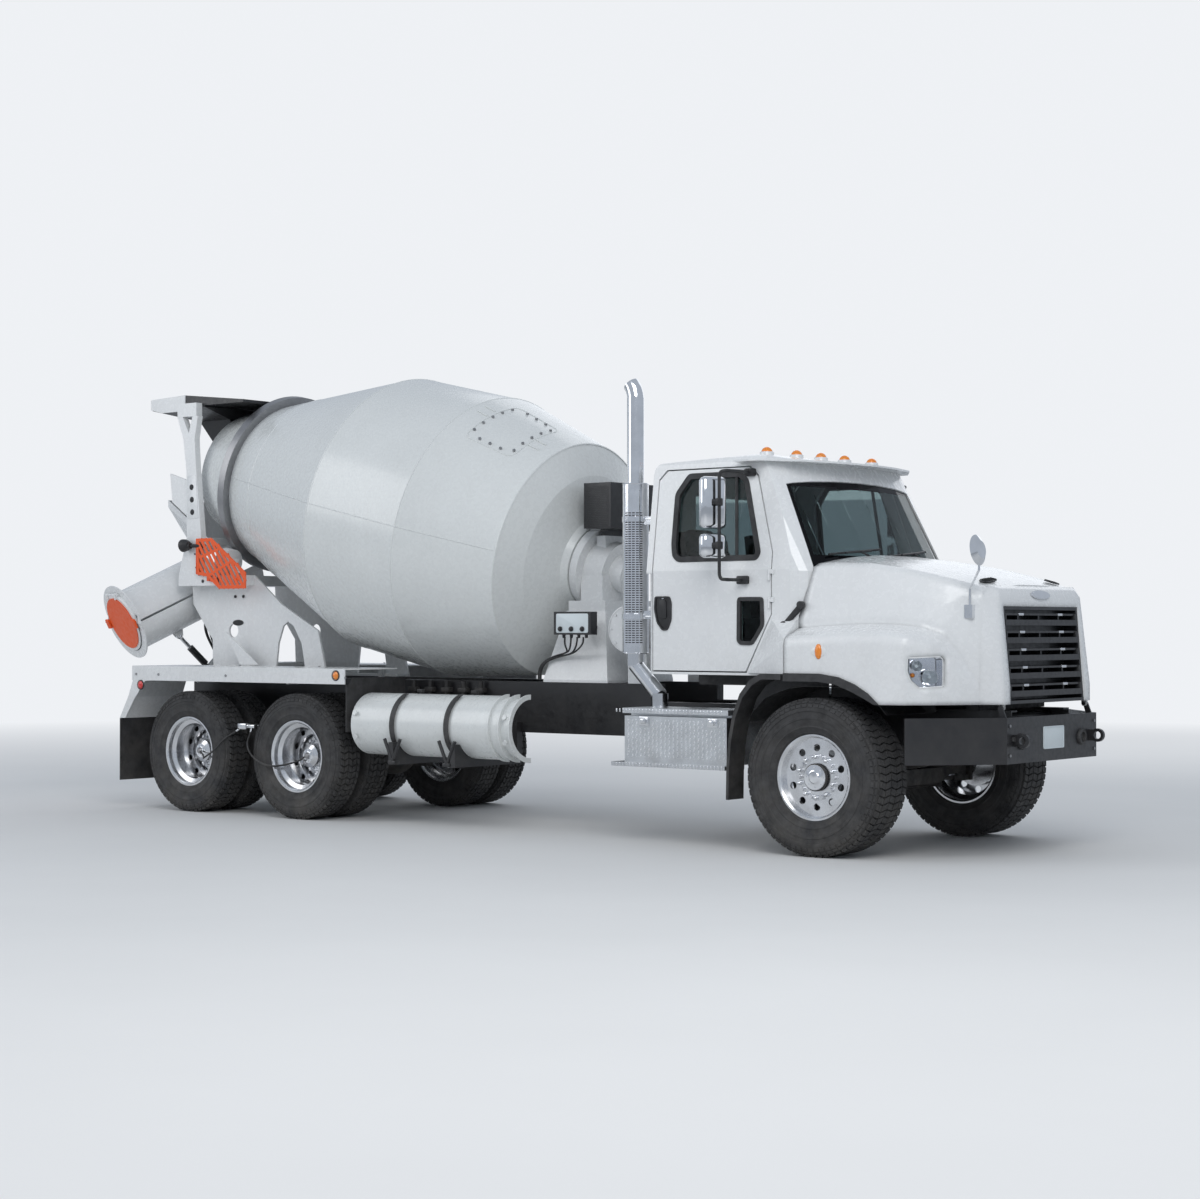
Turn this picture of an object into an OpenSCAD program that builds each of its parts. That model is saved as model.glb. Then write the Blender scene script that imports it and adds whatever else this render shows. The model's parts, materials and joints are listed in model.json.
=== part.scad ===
// Concrete mixer truck: day cab, tilting hood, twin rear axles and a rear-discharge drum.
// Millimetres. +X forward, +Y to the truck's left, +Z up, tyres on z = 0.
// Inside truck() the x origin is the front axle; axle_x puts the whole truck's box in the middle.

/* [Wheels] */
// Outside diameter of a front tyre
front_tyre_d = 1100; // [1060:10:1110]
// Width of a front tyre
front_tyre_w = 425; // [380:5:430]
// Outside diameter of a rear tyre
rear_tyre_d = 1040; // [1000:10:1050]
// Width of a rear tyre
rear_tyre_w = 280; // [250:5:285]
// Diameter of the rims where the tyres sit
rim_d = 571; // [560:1:580]
// Distance between the middles of the two front tyres
front_track = 2044; // [2030:2:2060]
// Distance between the middles of the two tyres of a twin wheel
twin_gap = 345; // [335:5:360]
// Distance between the middles of the outer rear tyres
rear_outer_track = 2120; // [2100:5:2130]

/* [Chassis] */
// Front axle to the middle of the two rear axles
wheelbase = 5750; // [5700:10:5800]
// Distance between the two rear axles
axle_gap = 1320; // [1300:10:1350]
// Outside width over the frame rails
frame_w = 860; // [840:5:870]
// Height of the frame rails' top
rail_top = 1015; // [1005:1:1025]
// Height of a frame rail's section
rail_h = 270; // [250:5:280]
// Width of a frame rail's flange
rail_flange = 85; // [70:5:90]
// Wall of a frame rail
rail_wall = 12; // [8:1:14]
// Height of the mixer's subframe
subframe_h = 137; // [130:1:140]
// Height of the bumper's top
bumper_top = 975; // [970:1:980]
// Height of the bumper's face
bumper_h = 315; // [300:5:330]
// Plate thickness of the bumper
bumper_plate = 14; // [10:1:20]

/* [Cab] */
// Width of the cab at the doors
cab_w = 2040; // [2020:5:2060]
// Width of the cab at the roof
roof_w = 1840; // [1800:5:1860]
// Wall of the cab and its doors
cab_wall = 60; // [50:5:65]
// Gap round a door and behind the hood
door_gap = 10; // [9:1:12]
// Thickness of the glass
glass_t = 6; // [5:1:8]
// Wall of the hood
hood_wall = 30; // [25:1:35]

/* [Drum] */
// Tilt of the drum's axis
drum_tilt = 12.685; // [12.5:0.05:12.9]
// Radius of the drum at its front seam
drum_r_front = 962; // [940:1:970]
// Radius of the drum at its widest
drum_r_belly = 1190; // [1170:1:1195]
// Radius of the drum's mouth
drum_r_mouth = 540; // [525:1:550]
// Outside radius of the roller ring
ring_r = 800; // [795:1:805]
// Width of the roller ring
ring_w = 75; // [60:1:80]
// Wall of the drum
drum_wall = 14; // [10:1:18]
// Radius of a drum roller
roller_r = 125; // [115:1:128]

/* [Chute] */
// Swing of the chute from straight forward, anticlockwise from above
chute_swing = 254; // [250:1:256]
// Slope of the chute
chute_slope = 25; // [24:0.5:26]
// Radius of the main chute's trough
chute_r = 290; // [280:1:292]
// Radius of the fold-over chute's trough
fold_r = 272; // [265:1:275]
// Wall of the chutes
chute_wall = 10; // [8:1:12]
// Length from the swivel's middle to the chute's low end
chute_l = 1080; // [1060:5:1090]
// Radius of the white flange at the low end
chute_flange_r = 352; // [345:1:355]
// Radius of the round orange cover
cover_r = 245; // [230:1:250]

/* [Hidden] */

white = "white";
black = "#202224";
steel = "silver";
orange = "#f05a20";
round_fn = 64;

front_r = front_tyre_d / 2;
rear_r = rear_tyre_d / 2;
axle_1x = axle_gap / 2 - wheelbase;
axle_2x = -axle_gap / 2 - wheelbase;
frame_y = frame_w / 2;
rail_bottom = rail_top - rail_h;
sub_top = rail_top + subframe_h;
seat_gap = 0.3;
run_gap = 0.05;
drawn_wheelbase = 5750;
mixer_shift = drawn_wheelbase - wheelbase;

// Front end
bumper_x = 1216;
tow_reach = 1330;
hood_hinge = [1150, 0, 1040];
hood_pin_r = 12;

// Cab
cab_rear = -1570;
cab_floor = 1244;
cab_nose = -20;
cowl_z = 1985;
belt_z = 2000;
roof_z = 2836;
ws_angle = 27.7;
door_front = -455;
door_rear = cab_rear + 50;

// Drum, with s measured back along its axis from the front seam
drum_x = -3113;
drum_z = 2137;
s_belly_1 = 892;
s_belly_2 = 1897;
s_ring = 3385;
s_mouth = 3940;

// Chute
chute_x = -7300;
chute_z = 2080;
chute_nx = cos(chute_swing) * cos(chute_slope);
ring_s = [chute_l - 33, chute_l - 21];
fold_s = chute_l - 25;
fold_ring_s = 2 * fold_s - ring_s[1] - 8;
ring_notch = 66;
rear_reach = chute_x + mixer_shift + fold_ring_s * chute_nx
    + ring_notch * cos(chute_swing) * sin(chute_slope)
    + sqrt(chute_flange_r * chute_flange_r - ring_notch * ring_notch) * sin(chute_swing);
axle_x = -(tow_reach + rear_reach) / 2;

// Steering
king_y = 840;
king_r = 24;
spindle_r = 45;
spindle_rear_r = 60;

module truck() {
    translate([axle_x, 0, 0]) children();
}

// The mixer body and its chutes keep their places to the rear axles
module mixer() {
    translate([axle_x + mixer_shift, 0, 0]) children();
}

module both() {
    children();
    mirror([0, 1, 0]) children();
}

module on_side(side) {
    if (side > 0) children();
    else mirror([0, 1, 0]) children();
}

// An outline in x and z, extruded from y to y + t
module slab(points, y, t) {
    translate([0, y + t, 0]) rotate([90, 0, 0]) linear_extrude(t) polygon(points);
}

// An outline in y and z, extruded from x to x + t
module cross_slab(points, x, t) {
    translate([x, 0, 0]) rotate([90, 0, 90]) linear_extrude(t) polygon(points);
}

module box(x, y, z) {
    translate([x[0], y[0], z[0]]) cube([x[1] - x[0], y[1] - y[0], z[1] - z[0]]);
}

// A round bar along y, x or z
module bar_y(x, z, y0, y1, r) {
    translate([x, y0, z]) rotate([-90, 0, 0]) cylinder(h = y1 - y0, r = r, $fn = round_fn);
}

module bar_x(y, z, x0, x1, r) {
    translate([x0, y, z]) rotate([0, 90, 0]) cylinder(h = x1 - x0, r = r, $fn = round_fn);
}

module bar_z(x, y, z0, z1, r) {
    translate([x, y, z0]) cylinder(h = z1 - z0, r = r, $fn = round_fn);
}

// Frame: two channel rails, tubes between them and the box rails of the mixer's subframe
rail_front = 1120;
rail_rear = mixer_shift - 7180;
sub_front = -1900;
cross_tubes = [[950, 953], [-1650, 953], [mixer_shift - 2900, 953], [mixer_shift - 4200, 795],
    [mixer_shift - 5750, 953], [mixer_shift - 7080, 953]];

module rail() {
    difference() {
        box([rail_rear, rail_front], [frame_y - rail_flange, frame_y], [rail_bottom, rail_top]);
        box([rail_rear - 1, rail_front + 1], [frame_y - rail_flange - 1, frame_y - rail_wall],
            [rail_bottom + rail_wall, rail_top - rail_wall]);
    }
}

module frame_rails() {
    color(black) truck() {
        both() {
            rail();
            box([rail_rear, sub_front], [frame_y - rail_flange, frame_y], [rail_top, sub_top]);
        }
        for (p = cross_tubes) bar_y(p[0], p[1], -frame_y + rail_wall / 2,
            frame_y - rail_wall / 2, 42);
        translate([mixer_shift, 0, 0]) chute_rack();
    }
}

// Two arms that carry the stored chutes on the right
rack_x = [-3960, -3300];
stored_y = -960;
stored_z = 805;
stored_r = 250;

module chute_rack() {
    r = stored_r + seat_gap;
    difference() {
        for (x = rack_x) {
            box([x - 25, x + 25], [-1235, -frame_y + 1], [stored_z - r - 60, stored_z - r + 120]);
            box([x - 25, x + 25], [-frame_y - 60, -frame_y + 1], [stored_z - r - 60, rail_bottom + 80]);
        }
        bar_x(stored_y, stored_z, rack_x[0] - 100, rack_x[1] + 100, r);
        box([rack_x[0] - 100, rack_x[1] + 100], [stored_y, -frame_y - 60],
            [stored_z - r, stored_z + 300]);
    }
}

module bumper() {
    wing_x = 735;
    wing_y = 1200;
    bend_y = 668;
    t = bumper_plate;
    color(black) truck() {
        translate([0, 0, bumper_top - bumper_h]) linear_extrude(bumper_h) polygon([
            [bumper_x, -bend_y], [bumper_x, bend_y], [wing_x, wing_y], [wing_x - t, wing_y - t],
            [bumper_x - t * 1.5, bend_y - t], [bumper_x - t * 1.5, t - bend_y],
            [wing_x - t, t - wing_y], [wing_x, -wing_y]]);
        both() {
            box([rail_front + seat_gap, bumper_x - t], [frame_y - rail_flange, frame_y],
                [bumper_top - bumper_h, bumper_top]);
            tow_eye();
            slab([[1200, 905], [1200, 958], [1165, 1048], [1150, 1056], [1135, 1048], [1132, 1030],
                [1172, 905]], 630, 12);
            bar_y(hood_hinge[0], hood_hinge[2], 600, 636, hood_pin_r);
        }
    }
}

tow_y = 560;
tow_z = 817;
tow_r = 48;
tow_bore_r = 27;

module tow_eye() {
    difference() {
        union() {
            bar_y(tow_reach - tow_r, tow_z, tow_y - 14, tow_y + 14, tow_r);
            box([bumper_x - bumper_plate, tow_reach - tow_r], [tow_y - 14, tow_y + 14],
                [tow_z - 40, tow_z + 40]);
        }
        bar_y(tow_reach - tow_r, tow_z, tow_y - 20, tow_y + 20, tow_bore_r);
    }
}

// Front axle: dropped beam, king pins and leaf springs
boss_h = 150;
ear_t = 40;
spring_y = 428;

module front_axle() {
    color(black) truck() {
        cross_slab([[-805, 500], [-600, 480], [-470, 430], [470, 430], [600, 480], [805, 500],
            [805, 600], [590, 590], [470, 545], [-470, 545], [-590, 590], [-805, 600]], -45, 90);
        both() {
            bar_z(0, king_y, front_r - boss_h / 2, front_r + boss_h / 2, 46);
            bar_z(0, king_y, front_r - boss_h / 2 - ear_t - 8, front_r + boss_h / 2 + ear_t + 8, king_r);
            slab([[-720, 690], [-400, 600], [0, 535], [400, 600], [760, 690], [760, 725],
                [400, 660], [0, 625], [-400, 660], [-720, 725]], spring_y - 40, 80);
            for (x = [-690, 730])
                box([x - 30, x + 30], [spring_y - 38, spring_y + 38], [700, rail_bottom - seat_gap]);
        }
    }
}

module knuckle_shape() {
    y0 = king_y + 55;
    gap = 5;
    z0 = front_r - boss_h / 2 - gap - ear_t;
    z1 = front_r + boss_h / 2 + gap + ear_t;
    difference() {
        union() {
            for (z = [z0, z1 - ear_t]) {
                bar_z(0, king_y, z, z + ear_t, 50);
                box([-50, 50], [king_y, y0 + 10], [z, z + ear_t]);
            }
            box([-60, 60], [y0, y0 + 40], [z0, z1]);
            box([tie_x - 25, -30], [king_y - tie_in - 25, king_y + 25], [z0, z0 + 30]);
            bar_y(0, front_r, y0, 1130, spindle_r);
        }
        bar_z(0, king_y, z0 - 1, z1 + 1, king_r + run_gap);
    }
}

module knuckle_r() {
    color(black) truck() on_side(-1) knuckle_shape();
}

module knuckle_l() {
    color(black) truck() on_side(1) knuckle_shape();
}

// The tie rod runs under the two knuckle arms
tie_x = -160;
tie_in = 35;

module tie_rod() {
    z_arm = front_r - boss_h / 2 - 5 - ear_t;
    y = king_y - tie_in;
    color(black) truck() {
        bar_y(tie_x, z_arm - 35, -y, y, 16);
        both() bar_z(tie_x, y, z_arm - 55, z_arm - seat_gap, 20);
    }
}

// A tyre about its own axis, centred on y = 0
module tyre(r, w, rim_half) {
    ri = rim_d / 2 + seat_gap;
    bead = rim_half - 15;
    side = [[ri, bead], [ri + 17, bead], [ri + 45, w * 0.455], [ri + (r - ri) * 0.5, w / 2],
        [r - 60, w * 0.485], [r - 16, w * 0.45], [r, w * 0.38]];
    rotate([-90, 0, 0]) rotate_extrude($fn = round_fn)
        polygon(concat(side, [for (i = [len(side) - 1:-1:0]) [side[i][0], -side[i][1]]]));
}

// The barrel of a rim about its own axis, centred on y = 0
module rim_barrel(half) {
    ro = rim_d / 2;
    t = 12;
    outer = [[ro + 13, half], [ro + 13, half - 9], [ro, half - 13], [ro, half * 0.6],
        [ro - 34, half * 0.45]];
    inner = [[ro - 34 - t, half * 0.4], [ro - t, half * 0.55], [ro - t, half - 10], [ro, half]];
    ring = concat(outer, [for (i = [len(outer) - 1:-1:0]) [outer[i][0], -outer[i][1]]],
        [for (i = [len(inner) - 1:-1:0]) [inner[i][0], -inner[i][1]]], inner);
    rotate([-90, 0, 0]) rotate_extrude($fn = round_fn) polygon(ring);
}

front_rim_half = 165;
rear_rim_half = 113;
nut_circle_r = 143;
hand_hole_r = 205;
rear_hole_r = 226;

// A wheel disc with ten holes, from y0 to y1, about the y axis
module wheel_disc(y0, y1, r_in, r_out, hole_r) {
    difference() {
        bar_y(0, 0, y0, y1, r_out);
        bar_y(0, 0, y0 - 1, y1 + 1, r_in);
        for (i = [0:9]) rotate([0, i * 36 + 18, 0]) bar_y(hand_hole_r, 0, y0 - 1, y1 + 1, hole_r);
    }
}

module wheel_nuts(y0, y1) {
    for (i = [0:9]) rotate([0, i * 36, 0]) bar_y(nut_circle_r, 0, y0, y1, 16);
}

module front_rim() {
    rim_barrel(front_rim_half);
    wheel_disc(104, 118, 80, rim_d / 2 - 4, 26);
    wheel_nuts(117, 142);
    difference() {
        union() {
            bar_y(0, 0, -80, 150, 88);
            bar_y(0, 0, 60, 104.5, 175);
        }
        bar_y(0, 0, -81, 112, spindle_r + run_gap);
    }
}

module rear_rims() {
    half_gap = twin_gap / 2;
    dish = [[100, 1], [178, 1], [192, 64], [274, 64], [274, 78], [181, 78], [167, 15], [100, 15]];
    for (m = [0, 1]) mirror([0, m, 0]) difference() {
        union() {
            translate([0, half_gap, 0]) rim_barrel(rear_rim_half);
            rotate([-90, 0, 0]) rotate_extrude($fn = round_fn) polygon(dish);
        }
        for (i = [0:9]) rotate([0, i * 36 + 18, 0]) bar_y(rear_hole_r, 0, 50, 90, 24);
    }
    difference() {
        union() {
            rotate([-90, 0, 0]) rotate_extrude($fn = round_fn) polygon([[0, -250], [120, -250], [120, -30],
                [175, -30], [175, -8], [130, -8], [130, 10], [101, 10], [95, 130], [60, 150], [0, 150]]);
            wheel_nuts(-20, 45);
        }
        bar_y(0, 0, -251, 125, spindle_rear_r + run_gap);
    }
    difference() {
        bar_y(0, 0, -235, -9, 206);
        bar_y(0, 0, -236, -20, 190);
        bar_y(0, 0, -21, -8, 100);
    }
}

module front_wheel_at(side) {
    truck() on_side(side) translate([0, front_track / 2, front_r]) children();
}

module rear_wheel_at(x, side) {
    truck() on_side(side) translate([x, rear_outer_track / 2 - twin_gap / 2, rear_r]) children();
}

module twin_tyres() {
    for (y = [-twin_gap / 2, twin_gap / 2]) translate([0, y, 0]) tyre(rear_r, rear_tyre_w, rear_rim_half);
}

module front_tyre_r() { color(black) front_wheel_at(-1) tyre(front_r, front_tyre_w, front_rim_half); }
module front_tyre_l() { color(black) front_wheel_at(1) tyre(front_r, front_tyre_w, front_rim_half); }
module front_rim_r() { color(steel) front_wheel_at(-1) front_rim(); }
module front_rim_l() { color(steel) front_wheel_at(1) front_rim(); }
module rear_tyres_1r() { color(black) rear_wheel_at(axle_1x, -1) twin_tyres(); }
module rear_tyres_1l() { color(black) rear_wheel_at(axle_1x, 1) twin_tyres(); }
module rear_tyres_2r() { color(black) rear_wheel_at(axle_2x, -1) twin_tyres(); }
module rear_tyres_2l() { color(black) rear_wheel_at(axle_2x, 1) twin_tyres(); }
module rear_rims_1r() { color(steel) rear_wheel_at(axle_1x, -1) rear_rims(); }
module rear_rims_1l() { color(steel) rear_wheel_at(axle_1x, 1) rear_rims(); }
module rear_rims_2r() { color(steel) rear_wheel_at(axle_2x, -1) rear_rims(); }
module rear_rims_2l() { color(steel) rear_wheel_at(axle_2x, 1) rear_rims(); }

// Rear axles: tubes with a differential bowl, on walking beams with a saddle under the frame
beam_y = 385;

module rear_axles() {
    hub_y = rear_outer_track / 2 - twin_gap / 2;
    color(black) truck() {
        for (x = [axle_1x, axle_2x]) {
            bar_y(x, rear_r, -605, 605, 72);
            bar_y(x, rear_r, -hub_y - 118, hub_y + 118, spindle_rear_r);
            translate([x, 0, rear_r]) sphere(r = 205, $fn = round_fn);
        }
        both() {
            slab([[axle_2x - 60, rear_r - 150], [axle_1x + 60, rear_r - 150], [axle_1x + 60, rear_r - 60],
                [-wheelbase + 200, rear_r + 20], [-wheelbase - 200, rear_r + 20],
                [axle_2x - 60, rear_r - 60]], beam_y - 45, 90);
            slab([[-wheelbase - 150, rear_r + 10], [-wheelbase + 150, rear_r + 10],
                [-wheelbase + 230, rail_bottom - seat_gap], [-wheelbase - 230, rail_bottom - seat_gap]],
                beam_y - 35, 80);
        }
    }
}

// Engine as one plain block, radiator, gearbox and shafts
module driveline() {
    engine_y = frame_y - rail_flange - seat_gap;
    color(steel) truck() {
        box([0, 740], [-engine_y, engine_y], [rail_bottom + 20, 1560]);
        box([800, 900], [-480, 480], [rail_top + seat_gap, 1700]);
        bar_x(0, 880, -1150, 1, 210);
        bar_x(0, 800, -2700, -1149, 60);
        translate([-2700, 0, 800]) rotate([0, 95, 0]) mirror([0, 0, 1])
            cylinder(h = -2950 - axle_1x, r = 55, $fn = round_fn);
    }
}

// Cab: one solid by its inset, so that walls, doors and glass all follow the same surfaces
cab_corner = 75;

// Points of an arc about c from angle a0 to a1
function arc(c, r, a0, a1, n = 5) =
    [for (k = [0:n]) [c[0] + r * cos(a0 + (a1 - a0) * k / n), c[1] + r * sin(a0 + (a1 - a0) * k / n)]];

// Half of the cab's front in plan, from the middle outwards
function cab_half(nose, i) = [[nose - i, 0], [nose - 10 - i, 300], [nose - 42 - i, 600],
    [nose - 80 - i, 780], [nose - 125 - i, 900], [nose - 165 - i, 970], [nose - 215 - i, 1005],
    [nose - 280 - i, cab_w / 2]];

// The rear corners in plan
function rear_half(i) = let (x = cab_rear + cab_corner, y = cab_w / 2 - cab_corner, r = cab_corner - i / 4)
    concat(arc([x, y], r, 90, 180), arc([x, -y], r, 180, 270));

module cab_plan(i) {
    half = cab_half(cab_nose, i);
    polygon(concat(half, rear_half(i), [for (k = [len(half) - 1:-1:1]) [half[k][0], -half[k][1]]]));
}

module cab_solid(i = 0) {
    hw = cab_w / 2;
    rw = roof_w / 2;
    r = cab_corner - i;
    y1 = rw - cab_corner;
    z1 = roof_z - 2 - cab_corner;
    x1 = cab_rear + cab_corner;
    intersection() {
        union() {
            translate([0, 0, cab_floor + i]) linear_extrude(cowl_z - cab_floor - i) cab_plan(i);
            intersection() {
                translate([0, 0, cowl_z]) rotate([0, -ws_angle, 0]) translate([0, 0, -900])
                    linear_extrude(2400) windscreen_plan(i);
                box([-3000, 200], [-1200, 1200], [cowl_z - 1, 3000]);
            }
        }
        slab(concat([[300, cab_floor + i], [cab_rear + i, cab_floor + i]],
            arc([x1, roof_z - 36 - cab_corner], max(r, 4), 180, 92), [[-640, roof_z - i],
            [-400, roof_z - 60 - i], [300, roof_z - 400 - i]]), -1200, 2400);
        cross_slab(concat([[-hw + i, cab_floor + i], [hw - i, cab_floor + i], [hw - i, belt_z]],
            arc([y1, z1], max(r, 4), 5, 88), arc([-y1, z1], max(r, 4), 92, 175), [[i - hw, belt_z]]),
            -3000, 3400);
    }
}

module windscreen_plan(i) {
    c = cos(ws_angle);
    half = [for (p = cab_half(cab_nose, 0)) [p[0] * c - i - 1, p[1]]];
    polygon(concat(half, [[-4000, cab_w / 2], [-4000, -cab_w / 2]],
        [for (k = [len(half) - 1:-1:1]) [half[k][0], -half[k][1]]]));
}

// Door hinges: an eye on the door over a pin on the cab
hinge_x = -475;
hinge_y = 1030;
hinge_z = [1720, 1920];

door_in = roof_w / 2 - 65;

module door_hinge_eyes() {
    for (z = hinge_z) difference() {
        union() {
            bar_z(hinge_x, hinge_y, z, z + 45, 9);
            box([hinge_x - 16, hinge_x], [cab_w / 2 - 2, hinge_y], [z, z + 45]);
        }
        bar_z(hinge_x, hinge_y, z - 1, z + 46, 5 + run_gap);
    }
}

module door_hinge_pins() {
    for (z = hinge_z) {
        bar_z(hinge_x, hinge_y, z, z + 48, 5);
        bar_z(hinge_x, hinge_y, z + 47, z + 80, 9);
        box([hinge_x, door_front + 20], [cab_w / 2 + 4, hinge_y], [z + 47, z + 80]);
        box([door_front + 5, door_front + 20], [cab_w / 2 - 2, hinge_y], [z + 47, z + 80]);
    }
}

// Door outline with its edges moved in by g
function door_outline(g) = [[door_rear + g, cab_floor + 18 + g], [door_rear + g, 2680 - g],
    [door_rear + 70 + g, 2750 - g], [-705 - g, 2750 - g], [-625 - g, 2680 - g], [door_front - g, 2120],
    [door_front - g, 1680], [-674 - g, cab_floor + 18 + g]];

function window_outline(g) = [[-1330 + g, 2110 + g], [-1345 + g, 2200], [-1345 + g, 2560],
    [-1240, 2700 - g], [-790, 2700 - g], [-720 - g, 2640 - g], [-570 - g, 2120 + g],
    [-600 - g, 2070 + g], [-1280, 2070 + g]];

function peep_outline(g) = [[-745 + g, 1500 + g], [-745 + g, 1790 - g], [-535 - g, 1790 - g],
    [-535 - g, 1600], [-620 - g, 1475 + g], [-720 + g, 1475 + g]];

module windscreen_cut(g) {
    translate([0, 0, cowl_z]) rotate([0, -ws_angle, 0]) cross_slab([[g - 925, 45 + g],
        [925 - g, 45 + g], [840 - g, 770 - g], [g - 840, 770 - g]], -500, 700);
}

module rear_window_cut(g) {
    box([cab_rear - 5, cab_rear + 300], [g - 480, 480 - g], [2130 + g, 2580 - g]);
}

module cab_shell() {
    color(white) truck() {
        difference() {
            cab_solid(0);
            cab_solid(cab_wall);
            both() slab(door_outline(0), door_in - 10, 300);
            windscreen_cut(0);
            rear_window_cut(0);
        }
        both() {
            quarter_panel();
            door_hinge_pins();
        }
    }
}

// The rear end of the fender, fixed to the cab between the hood's seam and the door
module quarter_panel() {
    x = hood_table[0][0] - door_gap;
    hull() {
        cross_slab([[1000, cab_floor + 18], [1196, cab_floor + 18], [1196, 1460], [1182, 1508], [1148, 1530],
            [1040, 1560], [1000, 1560]], x - 1, 1);
        slab([[x, cab_floor + 18], [-665, cab_floor + 18], [-655, cab_floor + 30], [-455, 1640],
            [x, 1640]], 1000, 21);
    }
}

module cab_glass() {
    color("SkyBlue", 0.5) truck() intersection() {
        difference() {
            cab_solid(12);
            cab_solid(12 + glass_t);
        }
        union() {
            windscreen_cut(seat_gap);
            rear_window_cut(seat_gap);
        }
    }
}

module door_panel() {
    difference() {
        intersection() {
            difference() {
                cab_solid(0);
                cab_solid(cab_wall);
            }
            slab(door_outline(door_gap), door_in, 280);
        }
        slab(window_outline(0), door_in - 55, 300);
        slab(peep_outline(0), door_in - 55, 300);
    }
}

module door_panes() {
    intersection() {
        difference() {
            cab_solid(20);
            cab_solid(20 + glass_t);
        }
        union() {
            slab(window_outline(seat_gap), door_in - 35, 280);
            slab(peep_outline(seat_gap), door_in - 35, 280);
        }
    }
}

module door_r() {
    color(white) truck() on_side(-1) {
        door_panel();
        door_hinge_eyes();
    }
}

module door_l() {
    color(white) truck() on_side(1) {
        door_panel();
        door_hinge_eyes();
    }
}
module door_glass_r() { color("SkyBlue", 0.5) truck() on_side(-1) door_panes(); }
module door_glass_l() { color("SkyBlue", 0.5) truck() on_side(1) door_panes(); }

// Mirror: a bent tube from two feet on the door, with a flat and a wide-angle head
mirror_y = 1262;
mirror_x = -800;
arm_r = 13;

module door_mirror() {
    z_top = 2700;
    z_low = 1925;
    foot_x = -690;
    corner_y = mirror_y - 60;
    difference() {
        for (z = [z_top, z_low]) {
            box([foot_x - 30, foot_x + 30], [880, z == z_top ? 960 : cab_w / 2 + 25], [z - 22, z + 22]);
            bar_y(foot_x, z, 900, corner_y, arm_r);
        }
        cab_solid(-seat_gap);
    }
    for (p = [[z_top, z_top - 20], [z_low, z_low + 20]]) hull() {
        translate([foot_x, corner_y, p[0]]) sphere(r = arm_r, $fn = 16);
        translate([mirror_x + 60, mirror_y, p[1]]) sphere(r = arm_r, $fn = 16);
    }
    bar_z(mirror_x + 60, mirror_y, z_low + 20, z_top - 20, arm_r);
    for (h = [[2290, 2660], [2080, 2255]]) {
        box([mirror_x - 35, mirror_x + 20], [mirror_y - 88, mirror_y + 88], h);
        box([mirror_x, mirror_x + 60], [mirror_y - 12, mirror_y + 12],
            [(h[0] + h[1]) / 2 - 20, (h[0] + h[1]) / 2 + 20]);
    }
}

module mirror_r() { color(black) truck() on_side(-1) door_mirror(); }
module mirror_l() { color(black) truck() on_side(1) door_mirror(); }

// Dashboard with the wheel on its column, and two seats
module cab_interior() {
    floor_z = cab_floor + cab_wall + seat_gap;
    color(black) truck() {
        slab([[-205, 1700], [-205, 1930], [-330, 1945], [-560, 1900], [-590, 1780], [-480, 1560],
            [-330, 1560]], -840, 1680);
        box([-440, -205], [-150, 150], [floor_z, 1701]);
        translate([-560, 430, 1820]) rotate([0, -62, 0]) cylinder(h = 190, r = 30, $fn = 32);
        translate([-735, 430, 1912]) rotate([0, -62, 0]) rotate_extrude($fn = 48)
            translate([215, 0]) circle(r = 15, $fn = 16);
        translate([-735, 430, 1912]) rotate([0, -62, 0]) for (a = [90, 210, 330])
            rotate([0, 0, a]) box([0, 210], [-14, 14], [-8, 8]);
        for (y = [-760, 130]) {
            slab([[-1330, floor_z], [-930, floor_z], [-930, 1480], [-880, 1500], [-860, 1600],
                [-880, 1640], [-1250, 1600], [-1330, 1640], [-1400, 2230], [-1440, 2300],
                [-1490, 2290], [-1480, 2200], [-1410, 1560], [-1370, 1480], [-1330, 1480]], y, 540);
        }
    }
}

visor_z = 2775;

module sun_visor() {
    color(steel) truck() difference() {
        translate([0, 0, visor_z]) linear_extrude(14) polygon([
            [-250, 0], [-290, 400], [-380, 750], [-560, 1030], [-640, 1050], [-800, 1000], [-800, 700],
            [-600, 0], [-800, -700], [-800, -1000], [-640, -1050], [-560, -1030], [-380, -750],
            [-290, -400]]);
        cab_solid(-seat_gap);
    }
}

roof_lamp_y = [-720, -330, 0, 330, 720];

module marker_lamps() {
    color("orange") truck() difference() {
        for (y = roof_lamp_y) translate([-700, y, roof_z - 30]) {
            cylinder(h = 50, r = 42, $fn = 48);
            translate([0, 0, 50]) sphere(r = 42, $fn = 48);
        }
        cab_solid(-seat_gap);
    }
}

// Exhaust: stack with a shield round it, curved tip and the elbow down to the frame
stack_x = -1740;
stack_y = -930;
pipe_r = 64;

module exhaust_stack() {
    color(steel) truck() {
        bar_z(stack_x, stack_y, 1300, 3300, pipe_r);
        difference() {
            bar_z(stack_x, stack_y, 1400, 2660, 98);
            bar_z(stack_x, stack_y, 1399, 2661, 88);
        }
        for (z = [1650, 2350])
            box([stack_x + 90, cab_rear - seat_gap], [stack_y - 30, stack_y + 30], [z, z + 60]);
        for (z = [1420, 2630]) difference() {
            bar_z(stack_x, stack_y, z, z + 12, 89);
            bar_z(stack_x, stack_y, z - 1, z + 13, pipe_r - 1);
        }
        translate([stack_x - 180, stack_y, 3290]) rotate([90, 0, 0])
            rotate_extrude(angle = 40, $fn = round_fn) translate([180, 0]) circle(r = pipe_r - 2, $fn = 32);
        translate([stack_x, stack_y, 1310]) rotate([0, 135, 0]) cylinder(h = 320, r = 58, $fn = round_fn);
        bar_z(stack_x + 226, stack_y, 998 + seat_gap, 1100, 62);
    }
}

step_x = [-1650, -735];

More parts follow.
